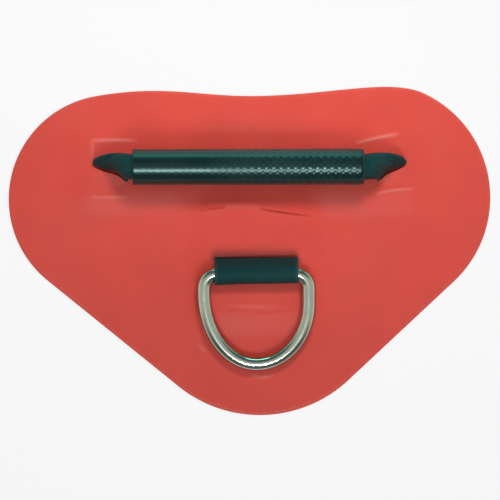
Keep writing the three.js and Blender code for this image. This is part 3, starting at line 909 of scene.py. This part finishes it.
def tail_rect(node):
    """A flat tail's rectangle in the patch: its low and high X and Y."""
    low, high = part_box(node)
    return low.x, low.y, high.x, high.y


def pads():
    """The rectangles of webbing that the cover is tented over."""
    upper = tail_rect("ring_tail_upper")
    lower = tail_rect("ring_tail_lower")
    return [
        tail_rect("handle_tail_left"),
        tail_rect("handle_tail_right"),
        (lower[0], lower[1], upper[2], upper[3]),
    ]


def outside_rect(points, rect, rounding):
    """How far each point is outside a rectangle with round corners."""
    x0, y0, x1, y1 = rect
    centre = np.array([(x0 + x1) / 2, (y0 + y1) / 2])
    half = np.array([(x1 - x0) / 2, (y1 - y0) / 2]) - rounding
    beyond = np.maximum(np.abs(points - centre) - half, 0)
    return np.maximum(np.hypot(beyond[:, 0], beyond[:, 1]) - rounding, 0)


def slit_lips(side, step):
    """The two lips of a handle slit as one closed loop."""
    t = np.linspace(0, 1, 60)
    lower = bezier(SLITS[side], t)
    way = unit(np.gradient(lower, axis=0))
    up = np.stack([way[:, 1], -way[:, 0]], axis=1) * -side
    gape = SLIT_WIDTH * np.sin(np.linspace(0, math.pi, 60)) ** 0.5
    upper = lower + up * gape[:, None]
    tears = np.sin(31 * t + side) * np.sin(13 * t) + 0.5 * np.sin(57 * t)
    ragged = RAG_DEPTH * tears * np.sin(math.pi * t)
    lower = lower - up * np.maximum(ragged, 0)[:, None]
    return spaced(np.concatenate([lower, upper[::-1][1:-1], lower[:1]]), step)[:-1]


def ring_slot():
    """The straight slot that the ring's webbing comes through."""
    x0, _, x1, _ = tail_rect("ring_tail_upper")
    y0, y1 = LOOP_HINGE.y - SLOT_HALF, LOOP_HINGE.y + SLOT_HALF
    corners = np.array([(x0, y0), (x1, y0), (x1, y1), (x0, y1)])
    return spaced(closed(corners), SLOT_STEP)[:-1]


def cover_height(points, cloth):
    """How far the cover's upper face is lifted above its flat level."""
    lift = np.zeros(len(points))
    for rect in pads():
        away = outside_rect(points, rect, PAD_ROUNDING)
        lift = np.maximum(lift, cloth.pad_lift * (1 - smooth(away / cloth.pad_slope)))
    for side, control in SLITS.items():
        lip = bezier(control, np.linspace(0, 1, 40))
        away, at, turn = nearest_on(points, lip)
        below = turn * side > 0
        ends = np.clip(np.sin(math.pi * at), 0, 1) ** 0.5
        rise = np.where(below, 1.0, 0.2) * np.exp(-(away / SLIT_SLOPE) ** 1.4)
        lift = lift + cloth.lip_lift * ends * rise
    slot_y = np.abs(points[:, 1] - LOOP_HINGE.y)
    x0, _, x1, _ = tail_rect("ring_tail_upper")
    beyond = np.maximum(np.maximum(x0 - points[:, 0], points[:, 0] - x1), 0)
    lip = np.where(points[:, 1] > LOOP_HINGE.y, SLOT_UPPER_LIFT, SLOT_LOWER_LIFT)
    lift = lift + lip * np.exp(-(np.hypot(slot_y, beyond) / SLOT_SLOPE) ** 2)
    for path, height, left, right, _ in FOLDS:
        away, at, side = nearest_on(points, fold_line(path))
        width = np.where(side > 0, left, right)
        fade = np.sin(math.pi * np.clip(at, 0, 1)) ** 0.6
        lift = lift + height * MM * fade * np.exp(-(away / (width * MM)) ** 2)
    return lift + slow_waves(points)


def painted_shadow_beside_loop(points):
    """Painted shadow on the cover along the upper side of the ring's webbing, where the webbing shades
    it.
    """
    x0, _, x1, _ = tail_rect("ring_tail_upper")
    above = points[:, 1] - LOOP_HINGE.y - 2 * MM
    beyond = np.maximum(np.maximum(x0 + 1 * MM - points[:, 0], points[:, 0] - x1 + 3 * MM), 0)
    away = np.hypot(np.maximum(above, 0), 1.5 * beyond)
    return np.where(above > -2 * MM, np.exp(-(away / PAINTED_SHADOW_REACH) ** 2.2), 0)


def painted_crest_highlights(points):
    """Painted highlight along the crests of the small folds."""
    crest_highlight = np.zeros(len(points))
    for path, *_, share_highlit in FOLDS:
        away, at, _ = nearest_on(points, fold_line(path))
        fade = np.sin(math.pi * np.clip(at, 0, 1)) ** 0.5
        crest_highlight = np.maximum(crest_highlight, share_highlit * fade * np.exp(-(away / CREST_HIGHLIGHT_WIDTH) ** 2))
    return crest_highlight


def slow_waves(points):
    """The cloth's own unevenness as it lies."""
    x, y = points.T / MM
    waves = (0.16 * np.sin(x / 21 + 0.6 * np.sin(y / 17)) * np.sin(y / 26 + 0.4)
             + 0.10 * np.sin(x / 9.5 + y / 14 + 1.3) * np.sin(y / 11 - x / 31)
             + 0.05 * np.sin(x / 4.7 - y / 7.9) * np.sin(y / 5.3 + x / 13 + 0.8))
    return waves * MM


def near_lines(points, lines, reach):
    """Whether each point is within reach of any of the lines."""
    found = np.zeros(len(points), bool)
    for line in lines:
        found |= nearest_on(points, line)[0] < reach
    return found


def make_cover(cloth):
    """The outer layer, lifted over the webbing, and its flat area."""
    outline = patch_outline(cloth, OUTLINE_STEP)
    holes = [slit_lips(-1, SLIT_STEP), slit_lips(1, SLIT_STEP), ring_slot()]
    folds = [fold_line(path) for path, *_ in FOLDS]

    def busy(points):
        found = near_lines(points, [*folds, *holes], FINE_BY_FOLDS)
        for rect in pads():
            away = outside_rect(points, rect, PAD_ROUNDING)
            found |= (away > 0) & (away < FINE_BY_PADS)
        return found

    filling = scattered(outline, holes, busy, COVER_FINE, COVER_COARSE)
    flat, faces = flat_triangles(outline, holes, filling)
    lift = np.maximum(cover_height(flat, cloth), 0)
    away = nearest_on(flat, closed(outline))[0]
    lift = lift * smooth(away / RIM_SLOPE)
    under = COVER_LEVEL + lift
    over = under + cloth.fabric
    # Painted shadow beside the ring's webbing and painted highlights along the fold crests.
    marks = {"painted_shadow": painted_shadow_beside_loop(flat), "crest_highlight": painted_crest_highlights(flat)}
    cover = cloth_layer("cover_cloth", flat, faces, under, over, COVER_BEVEL,
                        coated_fabric("Coated fabric, face", cloth, 0.46), marks)
    return cover, flat_area(flat, faces)


def make_backing(cloth):
    """The flat inner layer, grooved under the seams, and its flat area."""
    outline = patch_outline(cloth, OUTLINE_STEP)
    lines = [line for node in SEAM_NODES for line in seam_lines(node, 0)]
    flat_lines = [spaced(np.array(line)[:, :2], 1 * MM) for line in lines]

    def busy(points):
        return near_lines(points, flat_lines, FINE_BY_SEAMS)

    filling = scattered(outline, [], busy, BACKING_FINE, BACKING_COARSE)
    flat, faces = flat_triangles(outline, [], filling)
    groove = np.zeros(len(flat))
    for line in flat_lines:
        away = nearest_on(flat, line)[0]
        groove = np.maximum(groove, GROOVE_DEPTH * np.exp(-(away / GROOVE_WIDTH) ** 2))
    over = np.full(len(flat), cloth.fabric)
    backing = cloth_layer("backing_cloth", flat, faces, groove, over, BACKING_BEVEL,
                          coated_fabric("Coated fabric, bonding face", cloth, 0.62))
    return backing, flat_area(flat, faces)


# ---------------------------------------------------------------- seams

# The seams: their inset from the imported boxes, and the groove they press into the backing.
SEAM_NODES = ("seam_handle_left", "seam_handle_right", "seam_ring_upper", "seam_ring_lower")
SEAM_INSET = 0.4 * MM
GROOVE_DEPTH = 0.45 * MM
GROOVE_WIDTH = 0.7 * MM


def seam_lines(node, z):
    """A box and its two diagonals at one level, as lists of points."""
    low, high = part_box(node)
    x0, x1 = low.x + SEAM_INSET, high.x - SEAM_INSET
    y0, y1 = low.y + SEAM_INSET, high.y - SEAM_INSET
    box = [(x0, y0, z), (x1, y0, z), (x1, y1, z), (x0, y1, z), (x0, y0, z)]
    return [box[0:2], box[1:3], box[2:4], box[3:5], [box[0], box[2]], [box[1], box[3]]]


def stitch_tree(material):
    """Geometry nodes that lay stitches along the edges they are given."""
    tree = bpy.data.node_groups.new("Stitches along edges", "GeometryNodeTree")
    sockets = {}
    for label, kind in (("Edges", "NodeSocketGeometry"), ("Pitch", "NodeSocketFloat"),
                        ("Stitch", "NodeSocketFloat"), ("Thread", "NodeSocketFloat")):
        sockets[label] = tree.interface.new_socket(label, in_out="INPUT", socket_type=kind).identifier
    tree.interface.new_socket("Stitches", in_out="OUTPUT", socket_type="NodeSocketGeometry")
    nodes = Nodes(tree)
    start = nodes.add("NodeGroupInput").outputs
    end = nodes.add("NodeGroupOutput").inputs
    line = nodes.add("GeometryNodeMeshToCurve", {"Mesh": start["Edges"]}).outputs[0]
    pitched = nodes.add("GeometryNodeResampleCurve", {"Curve": line, "Length": start["Pitch"]},
                        mode="LENGTH").outputs[0]
    tangent = nodes.add("GeometryNodeInputTangent").outputs[0]
    turned = nodes.add("FunctionNodeAlignRotationToVector", {"Vector": tangent}, axis="X").outputs[0]
    size = nodes.add("ShaderNodeCombineXYZ", {
        "X": start["Stitch"], "Y": start["Thread"], "Z": start["Thread"]}).outputs[0]
    bead = nodes.add("GeometryNodeMeshUVSphere", {"Segments": 8, "Rings": 6, "Radius": 0.5}).outputs[0]
    placed = nodes.add("GeometryNodeInstanceOnPoints", {
        "Points": pitched, "Instance": bead, "Rotation": turned, "Scale": size}).outputs[0]
    real = nodes.add("GeometryNodeRealizeInstances", {"Geometry": placed}).outputs[0]
    soft = nodes.add("GeometryNodeSetShadeSmooth", {"Geometry": real}).outputs[0]
    done = nodes.add("GeometryNodeSetMaterial", {"Geometry": soft, "Material": material}).outputs[0]
    nodes.feed(end["Stitches"], done)
    return tree, sockets


def through_nodes(name, lines, tree, sockets, values):
    """Runs a tree on some edges, and gives the result as a plain mesh object."""
    points = [p for line in lines for p in line]
    edges = [(2 * i, 2 * i + 1) for i in range(len(lines))]
    mesh = bpy.data.meshes.new(name)
    mesh.from_pydata(points, edges, [])
    obj = bpy.data.objects.new(name, mesh)
    bpy.context.scene.collection.objects.link(obj)
    modifier = obj.modifiers.new("Stitches", "NODES")
    modifier.node_group = tree
    for label, value in values.items():
        modifier[sockets[label]] = value
    evaluated = obj.evaluated_get(bpy.context.evaluated_depsgraph_get())
    made = bpy.data.meshes.new_from_object(evaluated)
    obj.modifiers.clear()
    obj.data = made
    return obj


def make_seams(seams):
    """Stitches above and below each tail, with the node that each set stands for."""
    material = thread_material("Sewing thread", seams.colour)
    tree, sockets = stitch_tree(material)
    values = {"Pitch": seams.pitch, "Stitch": seams.stitch, "Thread": seams.thread}
    made = []
    for node in SEAM_NODES:
        under = seams.thread / 2 + 0.02 * MM
        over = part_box(node)[1].z - seams.thread / 2
        lines = seam_lines(node, under) + seam_lines(node, over)
        made.append((through_nodes(node + "_stitches", lines, tree, sockets, values), node))
    return made


# ---------------------------------------------------------------- handle

def curled(x, u, radius):
    """A row of the strap inside the sleeve, with its open side down; u runs from -1 to 1."""
    return np.stack([
        np.full_like(u, x),
        SLEEVE_MIDDLE.y + radius * np.sin(CURL * u),
        SLEEVE_MIDDLE.z + radius * np.cos(CURL * u)], axis=-1)


def strap_side(side, u, handle):
    """Rows of the strap from its hidden tail, up through its slit and to the sleeve's mouth."""
    rect = tail_rect("handle_tail_left" if side < 0 else "handle_tail_right")
    inner = rect[2] if side < 0 else rect[0]
    y = (rect[1] + rect[3]) / 2 + u * (rect[3] - rect[1]) / 2
    lip = bezier(SLITS[side], (1 - u) / 2)
    way = unit(np.gradient(lip, axis=0))
    up = np.stack([-way[:, 1], way[:, 0]], axis=1) * side
    out_of_slit = lip + up * (handle.strap_thickness / 2 + 0.02 * MM)
    foot = np.column_stack([out_of_slit, np.full_like(u, LIP_TOP)])
    tail = np.full_like(u, TAIL_LEVEL)
    start = np.column_stack([np.full_like(u, inner), y, tail])
    near = np.column_stack([foot[:, 0] - side * 3 * MM, foot[:, 1] * 0.6 + y * 0.4, tail])
    rows = [start + (near - start) * t for t in np.linspace(0, 1, 12)]

    # Up through the slit.
    flat_pull = (near - start) * 0.4
    rise_pull = np.array([side * 0.5 * MM, 0, 4.0 * MM])
    rows += [hermite(near, flat_pull, foot, rise_pull, t) for t in np.linspace(0.15, 0.95, 6)]

    # Over to the sleeve's mouth, leaning towards +Y and gathered at the foot.
    mouth = SLEEVE_MIDDLE.x + side * (SLEEVE_SIZE.x / 2 + 1 * MM)
    head = curled(mouth, u, handle.curl_radius)
    reach = np.linalg.norm(head - foot, axis=1)
    lean = 0.5 + 0.5 * u
    gathers = 0.1 * np.sin(9 * u + side) + 0.06 * np.sin(17 * u)
    start_pull = np.stack([
        side * (0.16 + gathers) * reach, 0.62 * lean * reach, (0.9 + gathers) * reach], axis=1)
    end_pull = np.stack([-side * 0.88 * reach, -0.28 * lean * reach, 0 * reach], axis=1)
    count = round(reach.max() * 1.15 / ROW_FINE)
    rows += [hermite(foot, start_pull, head, end_pull, t) for t in np.linspace(0, 1, count)]
    rows.append(curled(mouth - side * 2 * MM, u, handle.curl_radius))
    return rows


def webbing_relief(depth):
    """Raised picks across a strap."""
    def relief(along):
        return depth * (np.abs(np.sin(math.pi * along / WEBBING_PICK)) ** 0.7 - 0.6)
    return relief


def make_strap(handle):
    """The handle's strap, from one hidden tail to the other."""
    u = np.linspace(-1, 1, 61)
    left = strap_side(-1, u, handle)
    right = strap_side(1, u, handle)
    inside_rows = [curled(x, u, handle.curl_radius)
                   for x in np.linspace(left[-1][0, 0], right[-1][0, 0], 40)[1:-1]]
    rows = np.array([*left, *inside_rows, *right[::-1]])
    return band("handle_strap", rows, handle.strap_thickness, handle.strap_width,
                webbing_material("Handle webbing", handle.webbing), webbing_relief(HANDLE_RELIEF))


def braid(along, around, pitch, rows):
    """Height from 0 to 1 of two crossing families of strands; around is in turns."""
    a = along / pitch + around * rows
    b = along / pitch - around * rows
    over = (np.floor(a) + np.floor(b)) % 2 < 1
    first = np.abs(np.sin(math.pi * a)) ** 0.6 * (0.55 + 0.45 * np.abs(np.sin(math.pi * b)))
    second = np.abs(np.sin(math.pi * b)) ** 0.6 * (0.55 + 0.45 * np.abs(np.sin(math.pi * a)))
    return np.where(over, first, second)


def sleeve_profile(half, radius, handle):
    """Distance along the axis and from it, round the wall: outside, right end, bore, left end."""
    bore = radius - handle.wall
    steps = round(2 * half / SLEEVE_STEP)
    quarter = np.linspace(0, math.pi / 2, 7)
    pinch, rounding = handle.end_pinch, handle.end_round
    outside = [(x, radius) for x in np.linspace(-half + rounding, half - pinch, steps)]
    right = [(half - pinch + pinch * math.sin(t), radius - pinch * 0.62 * (1 - math.cos(t)))
             for t in quarter[1:]]
    lip = BORE_ROUNDING
    bore_right = [(half - lip * 0.2, bore + lip * 0.4), (half - lip, bore)]
    bore_line = [(x, bore) for x in np.linspace(half - 2 * MM, 2 * MM - half, 24)]
    bore_left = [(-half + lip, bore), (-half + lip * 0.2, bore + lip * 0.4)]
    left = [(-half + rounding * (1 - math.sin(t)), radius - rounding * (1 - math.cos(t)))
            for t in quarter[::-1]]
    return np.array([*outside, *right, *bore_right, *bore_line, *bore_left, *left[:-1]])


def make_sleeve(handle):
    """The rubber sleeve, its braid fainter towards its left end."""
    half, radius = SLEEVE_SIZE.x / 2, SLEEVE_SIZE.z / 2
    profile = sleeve_profile(half, radius, handle)
    around = np.linspace(0, 1, 180, endpoint=False)
    along, reach = profile[:, :1], profile[:, 1:]
    turns = around[None, :]
    raised = braid(along, turns, handle.braid_pitch, handle.braid_rows)
    outer = smooth((reach - (radius - BRAID_SKIN)) / BRAID_SKIN)
    flat_end = smooth((half - PLAIN_END - np.abs(along)) / PLAIN_RUN)
    grown = smooth((along - BRAID_FADE_START) / BRAID_FADE_RUN)
    strength = BRAID_FAINT + (1 - BRAID_FAINT) * grown
    raised = raised * outer * flat_end * strength
    r = reach + handle.braid_depth * (raised - 0.6 * outer * flat_end)
    bend = SLEEVE_BEND * (along / half)
    rings = np.stack([
        SLEEVE_MIDDLE.x + along + 0 * turns,
        SLEEVE_MIDDLE.y + bend + r * np.cos(TURN * turns),
        SLEEVE_MIDDLE.z + r * np.sin(TURN * turns)], axis=-1)
    return hoop("rubber_sleeve", rings, rubber_material("Braided rubber", handle.rubber), 60,
                marks={"raised": raised.ravel()})


# ---------------------------------------------------------------- D-ring

def arc_points(circle, start, end):
    """Points on a circle, given as its centre and radius, from one angle to the other."""
    x, y, r = circle
    return [(x + r * math.cos(t), y + r * math.sin(t)) for t in np.linspace(start, end, 30)]


def make_loop(ring, webbing):
    """The webbing round the ring's bar, slightly slanted, swaying and flared at its edges."""
    path = teardrop_path(ring.loop_thickness, ROW_FINE)
    low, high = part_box("ring_loop")
    columns = np.linspace(low.x, high.x, 90)
    from_edge = np.clip((np.abs(columns - LOOP_MIDDLE.x) / (high.x - low.x) * 2 - 0.8) / 0.2, 0, 1)
    flare = LOOP_FLARE * from_edge ** 2
    rows = []
    for y, z in path:
        sway = LOOP_SWAY * np.sin(columns / (7 * MM) + z / (5 * MM))
        free = smooth((z - LOOP_HINGE.z + LOOP_FOOT) / (4 * MM))
        wide = unit(np.array([y - BAR.y, z - BAR.z]))
        rows.append(np.column_stack([
            columns,
            y + (LOOP_TILT * (columns - LOOP_MIDDLE.x) + sway) * free + flare * wide[0] * free,
            z + flare * wide[1] * free]))
    return band("ring_strap_loop", np.array(rows), ring.loop_thickness, high.x - low.x,
                webbing_material("Ring webbing", webbing), webbing_relief(RING_RELIEF))


def teardrop_path(thickness, step):
    """The middle of the loop's webbing in the YZ plane: out of the slot, round the bar and back."""
    small = thickness / 2 + 0.15 * MM
    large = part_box("ring_loop")[1].z - BAR.z - thickness / 2 - LOOP_EASE
    reach = math.hypot(BAR.y - LOOP_HINGE.y, BAR.z - LOOP_HINGE.z)
    heading = math.atan2(BAR.z - LOOP_HINGE.z, BAR.y - LOOP_HINGE.y)
    spread = math.acos((small - large) / reach)
    top, bottom = heading - spread, heading + spread
    neck = (LOOP_HINGE.y, LOOP_HINGE.z, small)
    bar = (BAR.y, BAR.z, large)
    foot = LOOP_HINGE.z - LOOP_FOOT
    points = [(LOOP_HINGE.y + small, foot)]
    points += arc_points(neck, 0, top)
    points += arc_points(bar, top, bottom if bottom > top else bottom + TURN)
    points += arc_points(neck, bottom, math.pi) if bottom > math.pi else []
    points += [(LOOP_HINGE.y - small, foot)]
    return spaced(np.array(points), step)


def ring_line(ring):
    """The ring's middle line in its own plane: X across it, Y away from the bar."""
    half = (RING_SIZE.x - ring.wire) / 2
    bend = ring.corner
    quarter = math.pi / 2

    def ellipse(y, rise, start, end):
        turn = np.linspace(start, end, 60)
        return np.stack([half * np.cos(turn), y + rise * np.sin(turn)], axis=1)

    def corner(x, start, end):
        turn = np.linspace(start, end, 20)
        return np.stack([x + bend * np.cos(turn), bend + bend * np.sin(turn)], axis=1)

    right, left = ring.right_shoulder, ring.left_shoulder
    pieces = [
        corner(half - bend, -quarter, 0),
        ellipse(right, RING_REACH - right, 0, quarter),
        ellipse(left, RING_REACH - left, quarter, 2 * quarter),
        corner(-half + bend, 2 * quarter, 3 * quarter),
    ]
    return spaced(closed(np.concatenate(pieces)), RING_STEP)[:-1]


def ring_slope():
    """How steeply the ring lies, tip down."""
    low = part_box("d_ring")[0]
    drop = BAR.z - (low.z + PACKED_WIRE / 2)
    return math.asin(drop / RING_REACH)


def make_ring(ring):
    """The D-ring's wire, swept round its middle line."""
    line = ring_line(ring)
    slope = ring_slope()
    sides = 48
    step = np.roll(line, -1, axis=0) - np.roll(line, 1, axis=0)
    out = unit(np.stack([step[:, 1], -step[:, 0]], axis=1))
    turn = np.linspace(0, TURN, sides, endpoint=False)
    radius = ring.wire / 2
    across = radius * np.cos(turn)[None, :]
    above = radius * np.sin(turn)[None, :]
    x = line[:, :1] + out[:, :1] * across
    away = line[:, 1:] + out[:, 1:] * across
    rings = np.stack([
        RING_MIDDLE.x + RING_SHIFT + x,
        BAR.y - away * math.cos(slope) - above * math.sin(slope),
        BAR.z - away * math.sin(slope) + above * math.cos(slope)], axis=-1)
    along = np.arange(len(line))[:, None] * RING_STEP + 0 * across
    uv = np.stack([along, radius * turn[None, :] + 0 * along], axis=-1).reshape(-1, 2)
    steel = steel_material("Polished steel", ring.steel, ring.wear)
    return hoop("steel_ring", rings, steel, 40, uv=uv)


def make_ring_tails(ring, webbing):
    """The two flat ends of the ring's webbing, between the layers."""
    material = webbing_material("Hidden webbing", webbing)
    made = []
    for node in ("ring_tail_upper", "ring_tail_lower"):
        x0, y0, x1, y1 = tail_rect(node)
        columns = np.linspace(x0, x1, 40)
        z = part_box(node)[0].z + ring.loop_thickness / 2
        rows = [np.column_stack([columns, np.full_like(columns, y), np.full_like(columns, z)])
                for y in np.linspace(y0, y1, 24)]
        strap = band(node + "_strap", np.array(rows), ring.loop_thickness, x1 - x0, material)
        made.append((strap, node))
    return made


# ---------------------------------------------------------------- operators

class HANDLEPATCH_OT_cloth(bpy.types.Operator):
    """Make the two layers of coated fabric"""
    bl_idname = "handle_patch.cloth"
    bl_label = "Cloth layers"

    def execute(self, context):
        cloth = context.scene.handle_patch_cloth
        backing, area = make_backing(cloth)
        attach(backing, "patch")
        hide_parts("backing_patch")
        cover, area = make_cover(cloth)
        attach(cover, "patch")
        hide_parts("outer_patch")
        return {"FINISHED"}


class HANDLEPATCH_OT_seams(bpy.types.Operator):
    """Sew the stitched boxes through the webbing's ends"""
    bl_idname = "handle_patch.seams"
    bl_label = "Seams"

    def execute(self, context):
        for seam, node in make_seams(context.scene.handle_patch_seams):
            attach(seam, "patch")
            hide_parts(node)
        return {"FINISHED"}


class HANDLEPATCH_OT_handle(bpy.types.Operator):
    """Make the handle's strap and its rubber sleeve"""
    bl_idname = "handle_patch.handle"
    bl_label = "Handle"

    def execute(self, context):
        handle = context.scene.handle_patch_handle
        strap = make_strap(handle)
        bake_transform(strap)
        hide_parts("handle_run", "handle_tail_left", "handle_tail_right")
        sleeve = make_sleeve(handle)
        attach(sleeve, "sleeve")
        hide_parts("grip_sleeve")
        return {"FINISHED"}


class HANDLEPATCH_OT_ring(bpy.types.Operator):
    """Make the D-ring and the webbing that holds it"""
    bl_idname = "handle_patch.ring"
    bl_label = "D-ring"

    def execute(self, context):
        ring = context.scene.handle_patch_ring
        webbing = context.scene.handle_patch_handle.webbing
        loop = make_loop(ring, webbing)
        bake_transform(loop)
        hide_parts("ring_loop")
        for tail, node in make_ring_tails(ring, webbing):
            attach(tail, "patch")
            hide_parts(node)
        wire = make_ring(ring)
        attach(wire, "ring")
        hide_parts("d_ring")
        return {"FINISHED"}


def soft_light(name, place, size, power, diffuse=True, glossy=True, colour="FFFFFF"):
    """A soft box that looks at the patch."""
    data = bpy.data.lights.new(name, "AREA")
    data.shape = "RECTANGLE"
    data.size, data.size_y = size
    data.energy = power
    data.color = from_hex(colour)
    lamp = bpy.data.objects.new(name, data)
    lamp.location = place
    lamp.rotation_euler = (-Vector(place)).to_track_quat("-Z", "Y").to_euler()
    lamp.visible_camera = False
    lamp.visible_diffuse = diffuse
    lamp.visible_glossy = glossy
    bpy.context.scene.collection.objects.link(lamp)


def spotlight(name, place, target, radius, power, cone, widened):
    """A soft lamp with a beam of cone degrees, widened along X, that fades out towards the nose."""
    data = bpy.data.lights.new(name, "SPOT")
    data.shadow_soft_size = radius
    data.energy = power
    data.spot_size = math.radians(cone)
    data.spot_blend = 0.5
    lamp = bpy.data.objects.new(name, data)
    lamp.location = place
    lamp.rotation_euler = (Vector(target) - Vector(place)).to_track_quat("-Z", "Y").to_euler()
    lamp.visible_camera = False
    lamp.visible_glossy = False
    lamp.scale.x = widened
    bpy.context.scene.collection.objects.link(lamp)


def make_floor(stage):
    """A wide floor just under the patch."""
    half = 6.0
    mesh = bpy.data.meshes.new("floor")
    mesh.from_pydata([(-half, -half, 0), (half, -half, 0), (half, half, 0), (-half, half, 0)], [],
                     [(0, 1, 2, 3)])
    mesh.materials.append(floor_material("Pale floor", stage.floor))
    ground = bpy.data.objects.new("floor", mesh)
    ground.location.z = -0.2 * MM
    bpy.context.scene.collection.objects.link(ground)
    return ground


def make_room():
    """The room that the patch reflects: pale overhead, teal beyond the handle, dark beyond the nose."""
    world = bpy.data.worlds.new("Studio")
    world.use_nodes = True
    bpy.context.scene.world = world
    nodes = Nodes(world.node_tree)
    seen = nodes.add("ShaderNodeLightPath").outputs["Is Camera Ray"]
    background = world.node_tree.nodes["Background"]
    way = nodes.add("ShaderNodeTexCoord").outputs["Generated"]
    parts = nodes.add("ShaderNodeSeparateXYZ", {"Vector": way}).outputs
    side = nodes.remap(nodes.math("ABSOLUTE", parts["Y"]), 0.26, 0.5, 0.0, 1.0)
    rim = nodes.remap(parts["Z"], 0.45, 0.12, 0.0, 1.0)
    upper = nodes.remap(parts["Y"], 0.2, 0.7, 0.0, 1.0)
    lower = nodes.remap(parts["Y"], -0.25, -0.6, 0.0, 1.0)
    walls = nodes.blend(upper, rgba((0.8, 0.85, 0.8)), rgba((0.36, 1.0, 0.88)))
    walls = nodes.blend(lower, walls, rgba((0.2, 0.25, 0.25)))
    room = nodes.blend(side, rgba((0.6, 0.62, 0.58)), rgba((0.09, 0.12, 0.13)))
    room = nodes.blend(rim, room, walls)
    nodes.feed(background.inputs["Color"], nodes.blend(seen, room, rgba((0.93, 0.93, 0.93))))


def make_camera(stage):
    """A camera straight above, far enough away to take in the view's width."""
    data = bpy.data.cameras.new("camera")
    data.lens = stage.lens
    data.clip_start, data.clip_end = 0.1, 100
    camera = bpy.data.objects.new("camera", data)
    away = stage.view_width * stage.lens / data.sensor_width
    camera.location = (0.29 * MM, 0.58 * MM, away)
    bpy.context.scene.collection.objects.link(camera)
    bpy.context.scene.camera = camera


class HANDLEPATCH_OT_stage(bpy.types.Operator):
    """Set the floor, the lights and the camera"""
    bl_idname = "handle_patch.stage"
    bl_label = "Stage"

    def execute(self, context):
        stage = context.scene.handle_patch_stage
        make_floor(stage)
        spotlight("upper_spot", place=(0.12, 0.55, 0.82), target=(0, 0.115, 0), radius=0.15, power=28,
                  cone=21.5, widened=1.7)
        soft_light("lower_softbox", place=(0.5, -1.5, 2.7), size=(0.9, 0.9), power=30, glossy=False)
        soft_light("strip", place=(0.02, -1.28, 3.05), size=(0.46, 0.22), power=66, diffuse=False)
        soft_light("kicker", place=(0, 2.2, 0.5), size=(1.6, 0.7), power=13, diffuse=False,
                   colour="98FAE8")
        make_room()
        make_camera(stage)
        context.scene.view_settings.view_transform = "Standard"
        return {"FINISHED"}


class HANDLEPATCH_PT_sidebar(bpy.types.Panel):
    """The steps, in order, with their sizes"""
    bl_idname = "HANDLEPATCH_PT_sidebar"
    bl_label = "Handle patch"
    bl_space_type = "VIEW_3D"
    bl_region_type = "UI"
    bl_category = "Handle patch"

    def draw(self, context):
        steps = zip(SETTINGS, (HANDLEPATCH_OT_cloth, HANDLEPATCH_OT_handle, HANDLEPATCH_OT_ring,
                               HANDLEPATCH_OT_seams, HANDLEPATCH_OT_stage))
        for name, step in steps:
            box = self.layout.box()
            box.operator(step.bl_idname)
            settings = getattr(context.scene, name)
            for label in settings.bl_rna.properties.keys():
                if label not in ("rna_type", "name"):
                    box.prop(settings, label)


CLASSES = (
    *SETTINGS.values(),
    HANDLEPATCH_OT_cloth,
    HANDLEPATCH_OT_seams,
    HANDLEPATCH_OT_handle,
    HANDLEPATCH_OT_ring,
    HANDLEPATCH_OT_stage,
    HANDLEPATCH_PT_sidebar,
)


def register():
    """Make the sizes, operators and panel known to Blender."""
    for cls in CLASSES:
        bpy.utils.register_class(cls)
    for name, group in SETTINGS.items():
        setattr(bpy.types.Scene, name, PointerProperty(type=group))


def unregister():
    """Take them away again."""
    for name in SETTINGS:
        delattr(bpy.types.Scene, name)
    for cls in reversed(CLASSES):
        bpy.utils.unregister_class(cls)


def main():
    """Make the whole patch."""
    register()
    bpy.ops.handle_patch.stage()
    bpy.ops.handle_patch.cloth()
    bpy.ops.handle_patch.seams()
    bpy.ops.handle_patch.handle()
    bpy.ops.handle_patch.ring()


if __name__ == "__main__":
    main()
